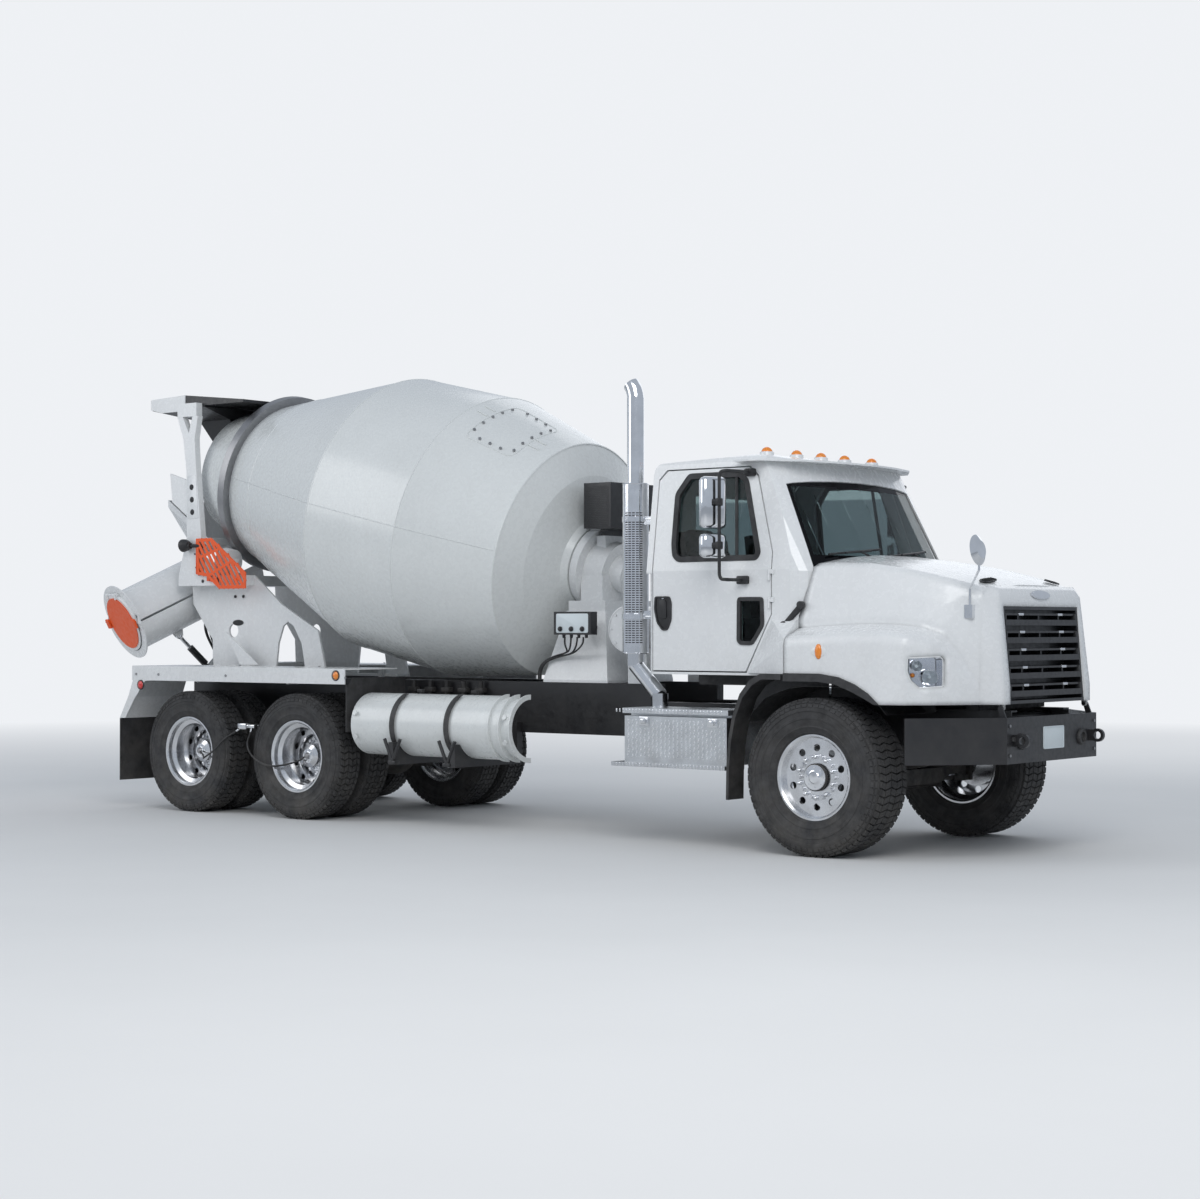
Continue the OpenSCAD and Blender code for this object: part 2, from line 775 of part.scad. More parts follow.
module step_box() {
    color(steel) truck() {
        box(step_x, [-1180, -560], [600, 940]);
        box([step_x[0], -705], [-1205, -800], [960, 998]);
        box([step_x[0], step_x[1]], [-1100, -700], [939, 961]);
        box([-1757, step_x[1]], [-1205, -960], [570, 600.5]);
        box([step_x[0] + 100, step_x[1] - 100], [-561, -frame_y - seat_gap], [780, 860]);
    }
}

module fuel_tank() {
    color(steel) truck() {
        bar_x(850, 790, step_x[0], step_x[1], 300);
        for (x = [step_x[0] + 150, step_x[1] - 200]) {
            box([x, x + 60], [frame_y + seat_gap, 860], [rail_bottom + 10, rail_bottom + 60]);
        }
        box([step_x[0], -760], [800, 1205], [1080, 1110]);
    }
}

// Three nested extension chutes, stored with their backs outwards
stored_x = [-4426, -2950];

module half_trough(r, t, x0, x1) {
    difference() {
        bar_x(0, 0, x0, x1, r);
        bar_x(0, 0, x0 - 1, x1 + 1, r - t);
        box([x0 - 1, x1 + 1], [0, r + 1], [-r - 1, r + 1]);
    }
}

module stored_chutes() {
    color(white) mixer() translate([0, stored_y, stored_z]) {
        for (k = [0:2]) {
            r = stored_r - k * (8 + seat_gap);
            half_trough(r, 8, stored_x[0] + k * 108, stored_x[1] + k * 108);
            half_trough(stored_r + 14, stored_r - r + 22, stored_x[1] + k * 108 - 12,
                stored_x[1] + k * 108);
        }
    }
}

// Front pedestal: a tapering box that carries the drum drive
module pedestal_form(g) {
    hull() {
        box([-3050 - g, -2400 + g], [-430 - g, 430 + g], [sub_top + seat_gap, sub_top + 20]);
        box([-2890 - g, -2500 + g], [-330 - g, 330 + g], [1700, 1720]);
    }
}

module front_pedestal() {
    color(white) mixer() {
        pedestal_form(0);
        bar_y(-2110, 1575, -560, 560, 175);
        both() box([-2200, -2020], [360, 425], [sub_top + seat_gap, 1450]);
    }
}

// Anything on the drum's axis: local z runs back along it from the front seam
module on_drum_axis() {
    translate([drum_x, 0, drum_z]) rotate([0, drum_tilt - 90, 0]) children();
}

module drum_drive() {
    color(white) mixer() {
        difference() {
            union() {
                on_drum_axis() {
                    translate([0, 0, -330]) cylinder(h = 70, r = 330, $fn = round_fn);
                    translate([0, 0, -520]) cylinder(h = 200, r = 240, $fn = round_fn);
                    translate([0, 0, -640]) cylinder(h = 130, r = 150, $fn = round_fn);
                }
                box([-2880, -2510], [-320, 320], [1720 + seat_gap, 1800]);
                box([-2820, -2600], [-240, 240], [1790, 2000]);
                box([-2730, -2640], [-150, 150], [2100, 2320]);
            }
            on_drum_axis() translate([0, 0, -400]) cylinder(h = 200, r = 80 + run_gap, $fn = round_fn);
        }
    }
}

module oil_cooler() {
    color(black) mixer() {
        box([-2700, -2430], [-350, 350], [2370, 2730]);
        box([-2700, -2645], [-140, 140], [2320 + seat_gap, 2371]);
    }
}

// Control box beside the front pedestal
module control_box() {
    color(black) mixer() {
        box([-2770, -2400], [-640, -560], [1530, 1710]);
        difference() {
            box([-2620, -2560], [-561, -340], [1560, 1600]);
            pedestal_form(seat_gap);
        }
    }
}

// Drum: hollow shell, open at the mouth, with its stub shaft in the drive
module drum_shell() {
    w = drum_wall;
    cone = (drum_r_belly - drum_r_mouth) / (s_mouth - s_belly_2);
    color(white) mixer() on_drum_axis() {
        difference() {
            rotate_extrude($fn = 96) polygon([[0, -250], [340, -250], [380, -205], [720, -120],
                [drum_r_front, 0], [drum_r_belly, s_belly_1], [drum_r_belly, s_belly_2],
                [drum_r_mouth, s_mouth], [drum_r_mouth - w, s_mouth], [drum_r_belly - w, s_belly_2 - 5],
                [drum_r_belly - w, s_belly_1 + 5], [drum_r_front - w, w], [700, w - 105],
                [0, w - 200]]);
        }
        translate([0, 0, -380]) cylinder(h = 140, r = 80, $fn = round_fn);
    }
}

ring_seat_r = drum_r_belly - (drum_r_belly - drum_r_mouth) * (s_ring - ring_w / 2 - s_belly_2)
    / (s_mouth - s_belly_2) + 1;

module drum_ring() {
    color(steel) mixer() on_drum_axis() translate([0, 0, s_ring - ring_w / 2]) difference() {
        cylinder(h = ring_w, r = ring_r, $fn = 96);
        translate([0, 0, -1]) cylinder(h = ring_w + 2, r = ring_seat_r, $fn = 96);
    }
}

// Rear pedestal: side plates with an arch, cross beam, posts, collector and the two drum rollers
roller_angle = 38;
roller_gap = 1;
plate_y = 520;
post_y = 620;
post_r = 45;

module rear_pedestal() {
    z0 = sub_top + seat_gap;
    color(white) mixer() {
        both() {
            difference() {
                slab([[-6820, z0], [-6835, 1480], [-7090, 1800], [-7110, 2050], [-6300, 2050],
                    [-5950, 1790], [-5500, 1560], [-5390, z0]], plate_y - 20, 20);
                slab([[-6030, z0 - 10], [-5990, 1450], [-5930, 1600], [-5870, 1640], [-5800, 1600],
                    [-5700, 1450], [-5640, z0 - 10]], plate_y - 30, 40);
                bar_y(-6560, 1560, plate_y - 30, plate_y + 10, 60);
            }
            box([-6820, -5390], [frame_y - rail_flange, plate_y], [z0, z0 + 20]);
            slab([[-7110, 2049], [-6850, 2049], [-6800, 2300], [-6880, 3000], [-6900, 3280], [-6860, 3480],
                [-6930, 3480], [-6980, 3330], [-7060, 3480], [-7130, 3480], [-7050, 3280], [-7010, 3000],
                [-7000, 2400]], post_y, 60);
            slab([[-7260, 2980], [-6990, 2900], [-6990, 2560], [-7230, 2720]], post_y + 10, 20);
            box([-7110, -6300], [plate_y - 1, post_y + 60], [1960, 2050]);
            roller();
        }
        box([-6800, -6420], [1 - plate_y, plate_y - 1], [1960, 2050]);
        box([-6820, -6400], [-frame_y, frame_y], [z0, z0 + 120]);
        box([chute_x - 30, -6800], [-50, 50], [z0 + 10, z0 + 80]);
        bar_z(chute_x, 0, z0 + 20, 1590, post_r);
    }
}

// A roller under the ring, in its bracket
module roller() {
    d = ring_r + roller_r + roller_gap;
    c = cos(roller_angle) * d;
    mid_x = drum_x - s_ring * cos(drum_tilt) - c * sin(drum_tilt);
    on_drum_axis() translate([-c, d * sin(roller_angle), s_ring]) {
        translate([0, 0, -45]) cylinder(h = 90, r = roller_r, $fn = round_fn);
        translate([0, 0, -92]) cylinder(h = 184, r = 35, $fn = round_fn);
    }
    for (x = [mid_x - 90, mid_x + 62]) box([x, x + 28], [530, 610], [2049, 2200]);
}

module roller_guards() {
    y = post_y + 85;
    color(orange) mixer() both() {
        slab([[-6840, 2380], [-6640, 2380], [-6200, 2070], [-6200, 1930], [-6540, 1930], [-6700, 2040],
            [-6830, 2060]], y, 8);
        for (x = [-6680, -6300]) box([x - 30, x], [post_y + 60 + seat_gap, y + 1], [2000, 2040]);
    }
}

// Charge hopper: a funnel that reaches into the drum's mouth
module charge_hopper() {
    color(white) mixer() {
        difference() {
            slab([[-7560, 3575], [-7560, 3665], [-7130, 3684], [-7100, 3684], [-7100, 3540],
                [-7410, 3540]], -620, 1240);
            box([-7550, -7090], [-610, 610], [3530, 3720]);
        }
        both() box([-7130, -6880], [610, post_y + 60], [3480 + seat_gap, 3600]);
    }
}

module hopper_spout() {
    t = 8;
    w = 609.7;
    neck_z = 3480;
    color(black) mixer() difference() {
        union() {
            box([-6851, -6345], [-w, w], [3580, 3588]);
            box([-6856, -6846], [-w, w], [3566, 3588]);
            box([-6353, -6345], [-w, w], [3580, 3604]);
            both() slab([[-7099.7, 3566], [-7099.7, 3683], [-6345, 3604], [-6345, 3580], [-6850, 3580],
                [-6851, 3566]], w - t, t);
            hull() {
                box([-7549.7, -6850], [-w, w], [3566, 3575]);
                box([-7300, -6900], [-260, 260], [neck_z, neck_z + 4]);
            }
            hull() {
                box([-7300, -6900], [-260, 260], [neck_z, neck_z + 4]);
                box([-7040, -6800], [-200, 200], [3130, 3134]);
            }
        }
        hull() {
            box([t - 7549.7, -6850 - t], [t - w, w - t], [3574, 3577]);
            box([t - 7300, -6900 - t], [t - 260, 260 - t], [neck_z + 3, neck_z + 5]);
        }
        hull() {
            box([t - 7300, -6900 - t], [t - 260, 260 - t], [neck_z + 2, neck_z + 6]);
            box([t - 7040, -6800 - t], [t - 200, 200 - t], [3129, 3133]);
        }
    }
}

// Funnel under the drum's mouth, carried by the posts
module collector_form(t, z) {
    hull() {
        box([t - 7480, -7120 - t], [t - 185, 185 - t], [2328, 2330]);
        slab([[t - 7540, 2760], [t - 7540, 2700 + t], [-7005 - t, 2335 + t], [-7000 - t, 2396]],
            t - 430, 860 - 2 * t);
    }
    hull() {
        box([t - 7480, -7120 - t], [t - 185, 185 - t], [2328, 2330]);
        box([t - 7450, -7150 - t], [t - 150, 150 - t], [z, z + 2]);
    }
}

module collector() {
    color(white) mixer() {
        difference() {
            collector_form(0, 2295);
            collector_form(8, 2294);
            hull() for (x = [-7532, -7008]) box([x, x + 1], [-422, 422], [x < -7100 ? 2752 : 2388, 2900]);
        }
        both() box([-7056, -7012], [429, post_y - seat_gap], [2352, 2398]);
    }
}

// Decks over the rear wheels with their arms and rear plates
deck_x = [-7108, -4493];
deck_y = [600, 1215];
deck_top = 1252;

module rear_decks() {
    color(white) mixer() both() {
        box(deck_x, deck_y, [deck_top - 10, deck_top]);
        box(deck_x, [deck_y[1] - 10, deck_y[1]], [1125, deck_top]);
        for (x = [-6900, -5750, -4650]) {
            bar_y(x, sub_top - 32, frame_y + seat_gap, 640, 25);
            box([x - 20, x + 20], [605, 635], [sub_top - 32, deck_top - 5]);
        }
        slab([[-7108, 1245], [-7100, 1120], [-7160, 980], [-7272, 790], [-7272, 786], [-7260, 786],
            [-7150, 975], [-7090, 1118], [-7098, 1245]], deck_y[0], deck_y[1] - deck_y[0]);
        slab([[-7108, 1250], [-7100, 1120], [-7160, 980], [-7272, 790], [-7200, 790], [-7080, 960],
            [-6940, 1120], [-6850, 1126], [-6850, 1250]], deck_y[1] - 10, 10);
    }
}

module mudguards() {
    color(black) mixer() both() {
        box([-7272, -7262], [deck_y[0], deck_y[1]], [240, 786 - seat_gap]);
        difference() {
            box([-4480, -4472], [520, 1215], [740, 1180]);
            bar_x(1215, 1180, -4490, -4460, 60);
        }
        box([-4480, -4450], [frame_y + seat_gap, 530], [900, 960]);
    }
    color(black) truck() both() splash_flare();
}

// The rubber flare behind a front wheel, fixed under the quarter panel
module splash_flare() {
    top = cab_floor + 18 - seat_gap;
    slab([[-258, top], [-430, top], [-520, 1215], [-605, 1115], [-668, 960], [-700, 800],
        [-718, 600], [-722, 365],
        [-700, 365], [-696, 600], [-676, 790], [-642, 945], [-580, 1090], [-500, 1180], [-420, 1222],
        [-258, 1222]], cab_w / 2 + seat_gap, 189);
}

// Hood: bonnet between the cab and the grille, with a fender on each side
surround_x = 1050;
grille_w = 1104;
grille_top = 1732;
hood_arch = [[-700, 900], [-700, 1240], [60, 1240], [200, 1222], [330, 1175], [430, 1120], [505, 1061],
    [560, 900]];

// The frame round the grille, part of the hood's moulding
module surround() {
    hull() {
        box([surround_x - 2, surround_x], [-735, 735], [1062, 1140]);
        box([surround_x - 2, surround_x], [-712, 712], [1140, 1780]);
        box([surround_x - 2, surround_x], [-640, 640], [1780, 1878]);
        box([surround_x + 90, surround_x + 130], [-640, 640], [1062, 1180]);
        box([surround_x + 60, surround_x + 70], [-606, 606], [1180, 1800]);
        box([surround_x + 40, surround_x + 50], [-560, 560], [1800, 1850]);
    }
}

// Half sections of the hood along x: fender side, crease, bonnet side, shoulder and top
// x, fender y, crease z, side y, side z, shoulder y, shoulder z, top z
hood_table = [
    [-236, 1196, 1530, 1012, 1640, 945, 2028, 2120],
    [-20, 1198, 1545, 1006, 1650, 928, 2035, 2112],
    [250, 1200, 1558, 985, 1660, 898, 2025, 2078],
    [520, 1200, 1556, 945, 1650, 850, 1985, 2032],
    [700, 1150, 1535, 895, 1630, 812, 1945, 1993],
    [830, 1036, 1490, 845, 1590, 780, 1912, 1960],
    [940, 890, 1345, 788, 1480, 742, 1880, 1928],
    [1050, 735, 1140, 722, 1250, 700, 1846, 1886]];

module hood_section(q, points) {
    cross_slab(points, q[0], 1);
}

function bonnet_half(q, t, low) = [[q[3] - t, low], [q[3] - t, q[4] - t],
    [(q[3] + q[5]) / 2 + 6 - t, (q[4] + q[6]) / 2 - t], [q[5] + 10 - t, q[6] - 60 - t],
    [q[5] - 12 - t, q[6] - 18 - t], [q[5] - 60 - t, q[6] + 8 - t],
    [q[5] * 0.6, (q[6] + 2 * q[7]) / 3 - t], [q[5] * 0.25, q[7] - 4 - t]];

function fender_half(q, t, low) = [[q[3] - 80, low], [q[1] - t, low], [q[1] - t, q[2] - 70 - t],
    [q[1] - 14 - t, q[2] - 22 - t], [q[1] - 48 - t, q[2] - t], [(q[1] + q[3]) / 2 - t, q[2] + 16 - t],
    [q[3] - 10 - t, q[2] + 55 - t], [q[3] - 80, q[2] + 55 - t]];

// Lofts through the table, moved in by t and down to z = low
module hood_solid(t, low) {
    for (k = [0:len(hood_table) - 2]) {
        bonnet_slice(k, t, low);
        both() hull() for (q = [hood_table[k], hood_table[k + 1]])
            hood_section(q, fender_half(q, t, low));
    }
}

module bonnet_slice(k, t, low) {
    hull() for (q = [hood_table[k], hood_table[k + 1]]) let (half = bonnet_half(q, t, low))
        hood_section(q, concat(half, [for (i = [len(half) - 1:-1:0]) [-half[i][0], half[i][1]]]));
}

function lamp_outline(g) = [[713 + g, 1290], [717 + g, 1382 - g], [880 - g, 1392 - g], [893 - g, 1370 - g],
    [892 - g, 1185 + g], [775, 1175 + g], [732 + g, 1225 + g]];

module hood_shell() {
    color(white) truck() {
        difference() {
            union() {
                hood_solid(0, 1062);
                surround();
            }
            translate([-2, 0, 0]) hood_solid(hood_wall, 1000);
            cab_solid(-door_gap);
            slab(hood_arch, -1300, 2600);
            box([surround_x - 45, surround_x + 200], [-grille_w / 2, grille_w / 2], [1000, grille_top]);
            both() slab(lamp_outline(0), 700, 600);
        }
        both() difference() {
            union() {
                bar_y(hood_hinge[0], hood_hinge[2], 604, 624, 20);
                box([hood_hinge[0] - 20, hood_hinge[0] + 20], [604, 624], [hood_hinge[2], 1068]);
            }
            bar_y(hood_hinge[0], hood_hinge[2], 600, 628, hood_pin_r + run_gap);
        }
    }
}

module arch_flares() {
    arch = [[-232, 1268], [60, 1268], [215, 1246], [345, 1198], [450, 1138], [535, 1062], [505, 1062],
        [430, 1100], [320, 1150], [195, 1195], [60, 1212], [-232, 1212]];
    color(black) truck() both() slab(arch, 1200 + seat_gap, 18);
}

module grille() {
    w = grille_w / 2 - seat_gap;
    color(black) truck() {
        difference() {
            slab([[surround_x - 40, 1064], [surround_x + 126, 1064],
                [surround_x + 72, grille_top - seat_gap],
                [surround_x - 40, grille_top - seat_gap]], -w, 2 * w);
            box([surround_x - 20, surround_x + 200], [24 - w, w - 24], [1086, grille_top - 24]);
        }
        for (k = [0:4]) {
            z = 1112 + k * 122;
            front = surround_x + 124 - 10 * k;
            box([surround_x - 21, front], [20 - w, w - 20], [z, z + 40]);
            box([surround_x - 21, front - 14], [20 - w, w - 20], [z + 70, z + 84]);
            for (y = [-300, 0, 300]) box([surround_x - 21, front - 30], [y - 9, y + 9], [z + 39, z + 71]);
        }
    }
}

module hood_lamps() {
    color(steel) truck() both() intersection() {
        slab(lamp_outline(seat_gap), 720, 560);
        difference() {
            hood_solid(10, 1030);
            hood_solid(hood_wall, 1000);
        }
    }
}

module hood_mirrors() {
    color(steel) truck() on_side(-1) {
        difference() {
            union() {
                box([950, 1012], [690, 775], [1650, 1740]);
                bar_z(985, 758, 1735, 1850, 8);
            }
            bonnet_slice(6, -seat_gap, 1000);
        }
        hull() {
            translate([985, 758, 1850]) sphere(r = 8, $fn = 16);
            translate([1128, 890, 1970]) sphere(r = 8, $fn = 16);
        }
        bar_z(1128, 890, 1970, 2080, 8);
        translate([1120, 895, 2105]) rotate([0, 82, 0]) cylinder(h = 30, r1 = 105, r2 = 60, $fn = round_fn);
    }
}

// The turning frame of the chute: local x points along the swing, z stays up
tilt_u = 100;
tilt_z = 1660;
foot_u = 120;
foot_z = 1220;
eye_u = 418;
eye_z = 1510;
lift_l = sqrt((eye_u - foot_u) * (eye_u - foot_u) + (eye_z - foot_z) * (eye_z - foot_z));
tilt_s = tilt_u * cos(chute_slope) + (chute_z - tilt_z) * sin(chute_slope);
tilt_n = tilt_u * sin(chute_slope) - (chute_z - tilt_z) * cos(chute_slope);
eye_s = eye_u * cos(chute_slope) + (chute_z - eye_z) * sin(chute_slope);
eye_n = eye_u * sin(chute_slope) - (chute_z - eye_z) * cos(chute_slope);

module on_swing() {
    translate([chute_x, 0, 0]) rotate([0, 0, chute_swing]) children();
}

// The lift cylinder's frame: local z from its foot to its eye
module on_lift() {
    on_swing() translate([foot_u, 0, foot_z])
        rotate([0, atan2(eye_u - foot_u, eye_z - foot_z), 0]) children();
}

// Chute frame: local x runs along the chute from the swivel's middle, local z up from its slope
module on_chute() {
    translate([chute_x, 0, chute_z]) rotate([0, 0, chute_swing]) rotate([0, chute_slope, 0]) children();
}

module chute_main() {
    color(white) mixer() on_chute() {
        difference() {
            union() {
                bar_x(0, 0, -280, ring_s[1], chute_r);
                bar_x(0, 0, ring_s[0], ring_s[1], chute_flange_r);
            }
            bar_x(0, 0, -281, chute_l, chute_r - chute_wall);
            box([-300, chute_l], [-400, 400], [-8, 400]);
            box([ring_s[0] - 1, chute_l], [-400, 400], [-ring_notch, 400]);
        }
        both() {
            difference() {
                union() {
                    slab([[ring_s[0], -70], [ring_s[1], -70], [fold_s + 16, -5],
                        [fold_s - 16, -5]], 296, 14);
                    bar_y(fold_s, 0, 296, 310, 18);
                }
                bar_y(fold_s, 0, 290, 320, 10 + run_gap);
            }
            difference() {
                slab([[eye_s - 50, -275], [eye_s + 50, -275], [eye_s + 28, eye_n], [eye_s, eye_n - 28],
                    [eye_s - 28, eye_n]], 21, 10);
                bar_y(eye_s, eye_n, 10, 40, 14);
            }
        }
        difference() {
            union() {
                bar_y(tilt_s, tilt_n, -40, 40, 45);
                box([tilt_s - 45, tilt_s + 45], [-40, 40], [tilt_n, -281]);
            }
            bar_y(tilt_s, tilt_n, -50, 50, 25 + run_gap);
        }
    }
}

module chute_fold() {
    s0 = fold_ring_s;
    color(white) mixer() on_chute() {
        difference() {
            union() {
                bar_x(0, 0, 130, chute_l - 15, fold_r);
                bar_x(0, 0, s0 - 12, s0, chute_flange_r);
            }
            bar_x(0, 0, 129, chute_l - 14, fold_r - chute_wall);
            box([100, chute_l], [-400, 400], [-400, 8]);
            box([s0 - 13, s0 + 1], [-400, 400], [-400, ring_notch]);
        }
        bar_x(0, 0, chute_l - 16, chute_l - 8, fold_r);
        both() {
            slab([[s0 - 12, 70], [s0, 70], [fold_s + 16, 5], [fold_s - 16, 5]], 315, 12);
            bar_y(fold_s, 0, 315, 327, 18);
            bar_y(fold_s, 0, 296, 316, 10);
        }
    }
}

module chute_cover() {
    color(orange) mixer() on_chute() bar_x(0, 0, chute_l - 8 + seat_gap, chute_l, cover_r);
}

module chute_bracket() {
    color(white) mixer() on_swing() {
        difference() {
            union() {
                bar_z(0, 0, 1246, 1600, 72);
                both() {
                    slab([[-40, 1490], [-40, 1590], [60, 1675], [100, 1690], [128, 1675], [140, 1640],
                        [60, 1490]], 50, 14);
                    slab([[40, 1250], [40, 1330], [120, 1250], [150, 1222], [120, 1192],
                        [92, 1215]], 20, 10);
                }
            }
            bar_z(0, 0, 1240, 1591, post_r + 0.09);
        }
        bar_y(tilt_u, tilt_z, -64, 64, 25);
        bar_y(foot_u, foot_z, -30, 30, 12);
    }
}

module lift_barrel() {
    color(black) mixer() on_lift() difference() {
        union() {
            bar_y(0, 0, -14, 14, 26);
            bar_z(0, 0, 15, 50, 14);
            bar_z(0, 0, 48, 265, 32);
        }
        bar_y(0, 0, -15, 15, 12 + run_gap);
        bar_z(0, 0, 60, 266, 18 + run_gap);
    }
}

module lift_rod() {
    color(steel) mixer() on_lift() difference() {
        union() {
            bar_z(0, 0, 155, lift_l - 15, 18);
            bar_y(0, lift_l, -12, 12, 28);
        }
        bar_y(0, lift_l, -13, 13, 14);
    }
}

frame_rails();
bumper();
front_axle();
rear_axles();
driveline();
cab_shell();
cab_glass();
cab_interior();
sun_visor();
marker_lamps();
exhaust_stack();
step_box();
fuel_tank();
stored_chutes();
front_pedestal();
drum_drive();
oil_cooler();
control_box();
rear_pedestal();
roller_guards();
charge_hopper();
hopper_spout();
collector();
rear_decks();
mudguards();
hood_shell();
grille();
hood_lamps();
arch_flares();
hood_mirrors();
door_r();
door_glass_r();
mirror_r();
door_l();
door_glass_l();
mirror_l();
knuckle_r();
knuckle_l();
tie_rod();
front_tyre_r();
front_rim_r();
front_tyre_l();
front_rim_l();
rear_tyres_1r();
rear_rims_1r();
rear_tyres_1l();
rear_rims_1l();
rear_tyres_2r();
rear_rims_2r();
rear_tyres_2l();
rear_rims_2l();
drum_shell();
drum_ring();
chute_bracket();
lift_barrel();
lift_rod();
chute_main();
chute_fold();
chute_cover();
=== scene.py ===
"""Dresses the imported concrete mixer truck: tyres, lamps, trim, fittings, finishes and the stage."""

import json
import math

import bmesh
import bpy
from bpy.props import FloatProperty, FloatVectorProperty, IntProperty, PointerProperty
from mathutils import Matrix, Vector

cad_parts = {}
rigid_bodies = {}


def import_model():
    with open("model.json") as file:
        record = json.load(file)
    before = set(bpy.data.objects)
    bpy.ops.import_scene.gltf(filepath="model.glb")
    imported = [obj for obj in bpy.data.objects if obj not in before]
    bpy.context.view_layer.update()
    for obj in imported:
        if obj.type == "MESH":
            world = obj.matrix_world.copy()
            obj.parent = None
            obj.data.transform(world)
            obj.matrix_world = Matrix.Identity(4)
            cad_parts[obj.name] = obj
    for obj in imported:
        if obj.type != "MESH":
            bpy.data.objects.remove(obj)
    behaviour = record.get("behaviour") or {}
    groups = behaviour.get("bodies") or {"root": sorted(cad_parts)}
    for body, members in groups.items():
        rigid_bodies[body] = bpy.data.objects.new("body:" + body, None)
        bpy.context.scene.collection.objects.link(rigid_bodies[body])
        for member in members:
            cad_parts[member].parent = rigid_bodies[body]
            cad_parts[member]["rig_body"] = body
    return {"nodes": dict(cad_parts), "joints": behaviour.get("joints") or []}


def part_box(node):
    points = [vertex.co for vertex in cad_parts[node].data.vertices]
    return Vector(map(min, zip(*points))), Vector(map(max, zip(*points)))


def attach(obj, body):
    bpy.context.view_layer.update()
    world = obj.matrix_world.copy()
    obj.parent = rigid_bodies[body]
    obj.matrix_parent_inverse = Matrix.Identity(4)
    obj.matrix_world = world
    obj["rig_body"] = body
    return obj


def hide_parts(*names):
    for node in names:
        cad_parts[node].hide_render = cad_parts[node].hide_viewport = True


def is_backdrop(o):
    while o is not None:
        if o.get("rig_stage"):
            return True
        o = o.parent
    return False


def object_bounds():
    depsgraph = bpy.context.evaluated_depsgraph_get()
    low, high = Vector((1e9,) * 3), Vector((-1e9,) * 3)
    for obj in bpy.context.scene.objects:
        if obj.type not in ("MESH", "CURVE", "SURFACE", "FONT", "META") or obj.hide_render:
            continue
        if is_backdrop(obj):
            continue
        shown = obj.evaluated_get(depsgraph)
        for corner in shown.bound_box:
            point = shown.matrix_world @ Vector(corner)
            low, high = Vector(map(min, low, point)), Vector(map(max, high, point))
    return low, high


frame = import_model()

bl_info = {
    "name": "Concrete mixer truck dressing",
    "version": (1, 0, 0),
    "blender": (4, 5, 0),
    "location": "View3D > Sidebar > Mixer",
    "description": "Finishes and small parts for a concrete mixer truck",
    "category": "Object",
}

NODES = frame["nodes"]
JOINTS = {joint["name"]: joint for joint in frame["joints"]}
AXLE_X = JOINTS["front_wheel_r_spin"]["pos_m"][0]
DRUM_AXIS = Vector(JOINTS["drum_spin"]["axis"])
DRUM_SEAM = Vector(JOINTS["drum_spin"]["pos_m"])
SIDES = {"r": -1, "l": 1}

# Cab: its half width, the height where its sides start to lean in, and how far they lean
CAB_HALF, CAB_WAIST, CAB_LEAN = 1.02, 2.0, 0.131

# Windscreen: the height of its foot, its rake, and the inner limits of its black band
SCREEN_FOOT, SCREEN_RAKE = 1.985, 0.525
FRIT_LOW, FRIT_HIGH, FRIT_SIDE, FRIT_LEAN = 2.10, 2.60, 1.105, 0.117

# Door mirrors: the pole, and the heads that are turned about their own middle
POLE_X, POLE_Y = -0.740, 1.262
HEAD_FRONT, HEAD_BACK, HEAD_Y, HEAD_HALF = -0.775, -0.855, 1.236, 0.100
HEAD_TURN = math.radians(25)

# Drum: its radii, its skin as (distance from the front seam, radius), and its welded seams
DRUM_FRONT_R, DRUM_R, DRUM_MOUTH_R = 0.962, 1.190, 0.7436
FRONT_CONE = 0.892
DRUM_PROFILE = ((0.0, DRUM_FRONT_R), (FRONT_CONE, DRUM_R), (1.897, DRUM_R), (3.30, DRUM_MOUTH_R))
DRUM_SEAMS = (*DRUM_PROFILE[:3], (2.985, 0.843))
HATCH_SCALE = 0.018

# Wheels and the sheets over and beside them
RIM_SEAT, TWIN_WIDTH = 0.2858, 0.28
ARCH_Z, ARCH_R, ARCH_SPREAD, ARCH_OUT = 0.550, 0.625, 0.075, 1.120
SHIELD_Y, SHEET = 0.600, 0.003

# Beside the chassis: exhaust stack, step box, fuel tank, stored chutes and water tank
STACK = Vector((-1.740, -0.930))
STEP_FACE, STEP_TOP, TREAD_EDGE = -1.1805, 0.9983, -1.205
TANK_Y, TANK_Z, TANK_R = 0.85, 0.79, 0.3003
STORED_Y, STORED_Z = -0.96, 0.805
WATER_X, WATER_Z, WATER_BOLTS = -2.110, 1.575, 0.150

# Rear: planes of the guards, the posts and the decks' sides, and the chute's direction
GUARD_Y, POST_Y, DECK_Y = 0.7087, 0.680, 1.215
CHUTE_TURN, CHUTE_SLOPE = math.radians(254), math.radians(25)

# Stage: backdrop and sky, where the floor fades, the lamps as (name, place, size, power), the camera
BACKDROP = (0.86, 0.88, 0.91, 1)
SKY, SKY_STRENGTH = (0.80, 0.88, 1.0, 1), 0.55
FADE_START, FADE_END = 7.0, 22.0
LAMPS = (("Key lamp", (9.0, -9.0, 9.5), 7.5, 760),
         ("Fill lamp", (-9.0, -10.0, 7.0), 8.0, 360),
         ("Back lamp", (-3.0, 12.0, 9.0), 13.0, 380))
LAMP_TARGET = Vector((0, 0, 1.2))
CAMERA_PLACE, CAMERA_LENS = (8.6868, -14.5492, 1.5791), 68.951
CAMERA_YAW, CAMERA_PITCH = math.radians(128.3257), math.radians(0.722)


def colour(name, default, words):
    """A setting that holds a colour"""
    return FloatVectorProperty(name=name, description=words, subtype="COLOR", size=3, min=0, max=1,
                               default=default)


def length(name, default, words):
    """A setting that holds a length in metres"""
    return FloatProperty(name=name, description=words, unit="LENGTH", min=0.0001, default=default)


